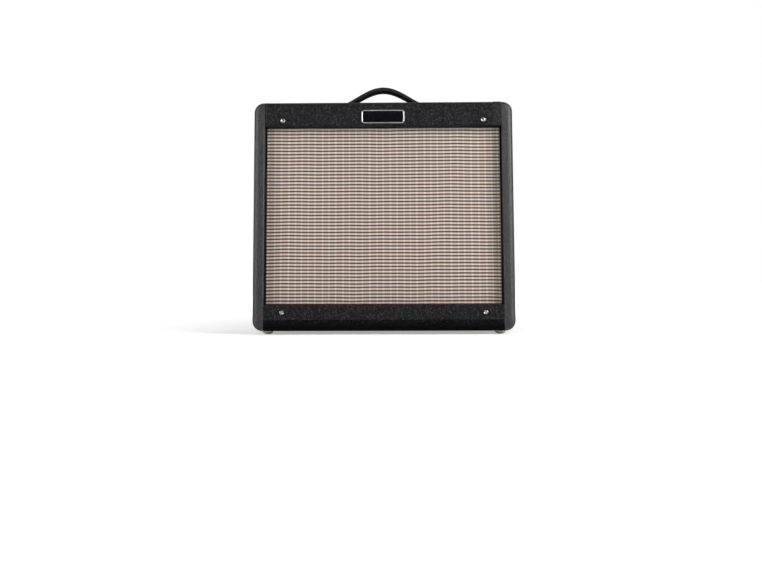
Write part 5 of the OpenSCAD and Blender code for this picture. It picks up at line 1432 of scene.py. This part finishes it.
class AMPLIFIER_OT_electrics(bpy.types.Operator):
    """Transformers, filter capacitors, reverb tank and its springs, and the leads"""
    bl_idname = "amplifier.electrics"
    bl_label = "Transformers, capacitors, reverb tank and leads"

    def execute(self, context):
        """A capacitor is a can with a rolled groove, and a reverb spring is a helix of 3.4 mm turns carried between
        the tank's ends. The leads keep their shape and get a jacket."""
        dress(["power_transformer", "output_transformer"], transformer_shell)
        dress(["reverb_tank"], zinc_plate)
        dress(["internal_leads"], cable_jacket)
        cans = []
        for lo, hi in solids("filter_capacitors"):
            size, mid = hi - lo, (lo + hi) / 2
            axis = int(np.argmax(size))
            r, length = float(np.sort(size)[0]) / 2, size[axis]
            t = np.linspace(0, math.pi, 9)
            groove = [(r - 0.9 * MM * math.sin(a), length * 0.86 - 1.5 * MM + 3 * MM * a / math.pi) for a in t]
            can = lathe([(r * 0.1, 0), (r - 1 * MM, 0), (r, 1 * MM), *groove, (r, length - 1 * MM),
                         (r - 1 * MM, length),
                         (r - 2 * MM, length - 0.6 * MM), (r * 0.1, length - 0.6 * MM)], 40)
            facing = {0: "right", 1: "back", 2: "up"}[axis]
            at = mid.copy()
            at[axis] = lo[axis]
            cans.append(put(can, at, facing))
        piece("capacitor_set", cans, [capacitor_sleeve], instead=["filter_capacitors"],
              sharp=35)
        coils = []
        for lo, hi in solids("reverb_springs"):
            mid, r = (lo + hi) / 2, min(hi[1] - lo[1], hi[2] - lo[2]) / 2
            wire = 0.4 * MM
            turns = int((hi[0] - lo[0] - 8 * MM) / (2.0 * MM))
            u = np.linspace(0, 1, turns * 14 + 1)
            a = 2 * math.pi * turns * u
            ease = np.clip(np.minimum(u, 1 - u) * 60, 0.05, 1)
            path = np.stack([lo[0] + 4 * MM + (hi[0] - lo[0] - 8 * MM) * u, mid[1] + (r - wire) * ease * np.cos(a),
                             mid[2] + (r - wire) * ease * np.sin(a)], 1)
            path = np.vstack([[lo[0], mid[1], mid[2]], path, [hi[0], mid[1], mid[2]]])
            coils.append(carry(path, ring_xy(wire, 5), up=(1, 0, 0.02)))
        piece("spring_set", coils, [spring_wire], instead=["reverb_springs"], sharp=70)
        return {"FINISHED"}


# ---------------------------------------------------------------- add-on

STEPS = (AMPLIFIER_OT_stage, AMPLIFIER_OT_cabinet, AMPLIFIER_OT_grille, AMPLIFIER_OT_fixings, AMPLIFIER_OT_badge,
         AMPLIFIER_OT_glides, AMPLIFIER_OT_handle, AMPLIFIER_OT_knobs, AMPLIFIER_OT_panel, AMPLIFIER_OT_speaker,
         AMPLIFIER_OT_valves, AMPLIFIER_OT_electrics)


class AMPLIFIER_PT_tools(bpy.types.Panel):
    """Lists the sizes and the steps that build the amplifier"""
    bl_idname = "AMPLIFIER_PT_tools"
    bl_label = "Amplifier"
    bl_space_type = "VIEW_3D"
    bl_region_type = "UI"
    bl_category = "Amplifier"

    def draw(self, context):
        column = self.layout.column(align=True)
        for name in AmplifierLook.__annotations__:
            column.prop(context.scene.amplifier, name)
        for step in STEPS:
            column.operator(step.bl_idname)


def register():
    for kind in (AmplifierLook, *STEPS, AMPLIFIER_PT_tools):
        bpy.utils.register_class(kind)
    bpy.types.Scene.amplifier = bpy.props.PointerProperty(type=AmplifierLook)


def unregister():
    del bpy.types.Scene.amplifier
    for kind in reversed((AmplifierLook, *STEPS, AMPLIFIER_PT_tools)):
        bpy.utils.unregister_class(kind)


def main():
    """Registers the add-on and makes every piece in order."""
    register()
    for step in STEPS:
        area, action = step.bl_idname.split(".")
        getattr(getattr(bpy.ops, area), action)()
    {"cad": CAD_BOX, "visual": [list(corner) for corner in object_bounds()]}


if __name__ == "__main__":
    main()
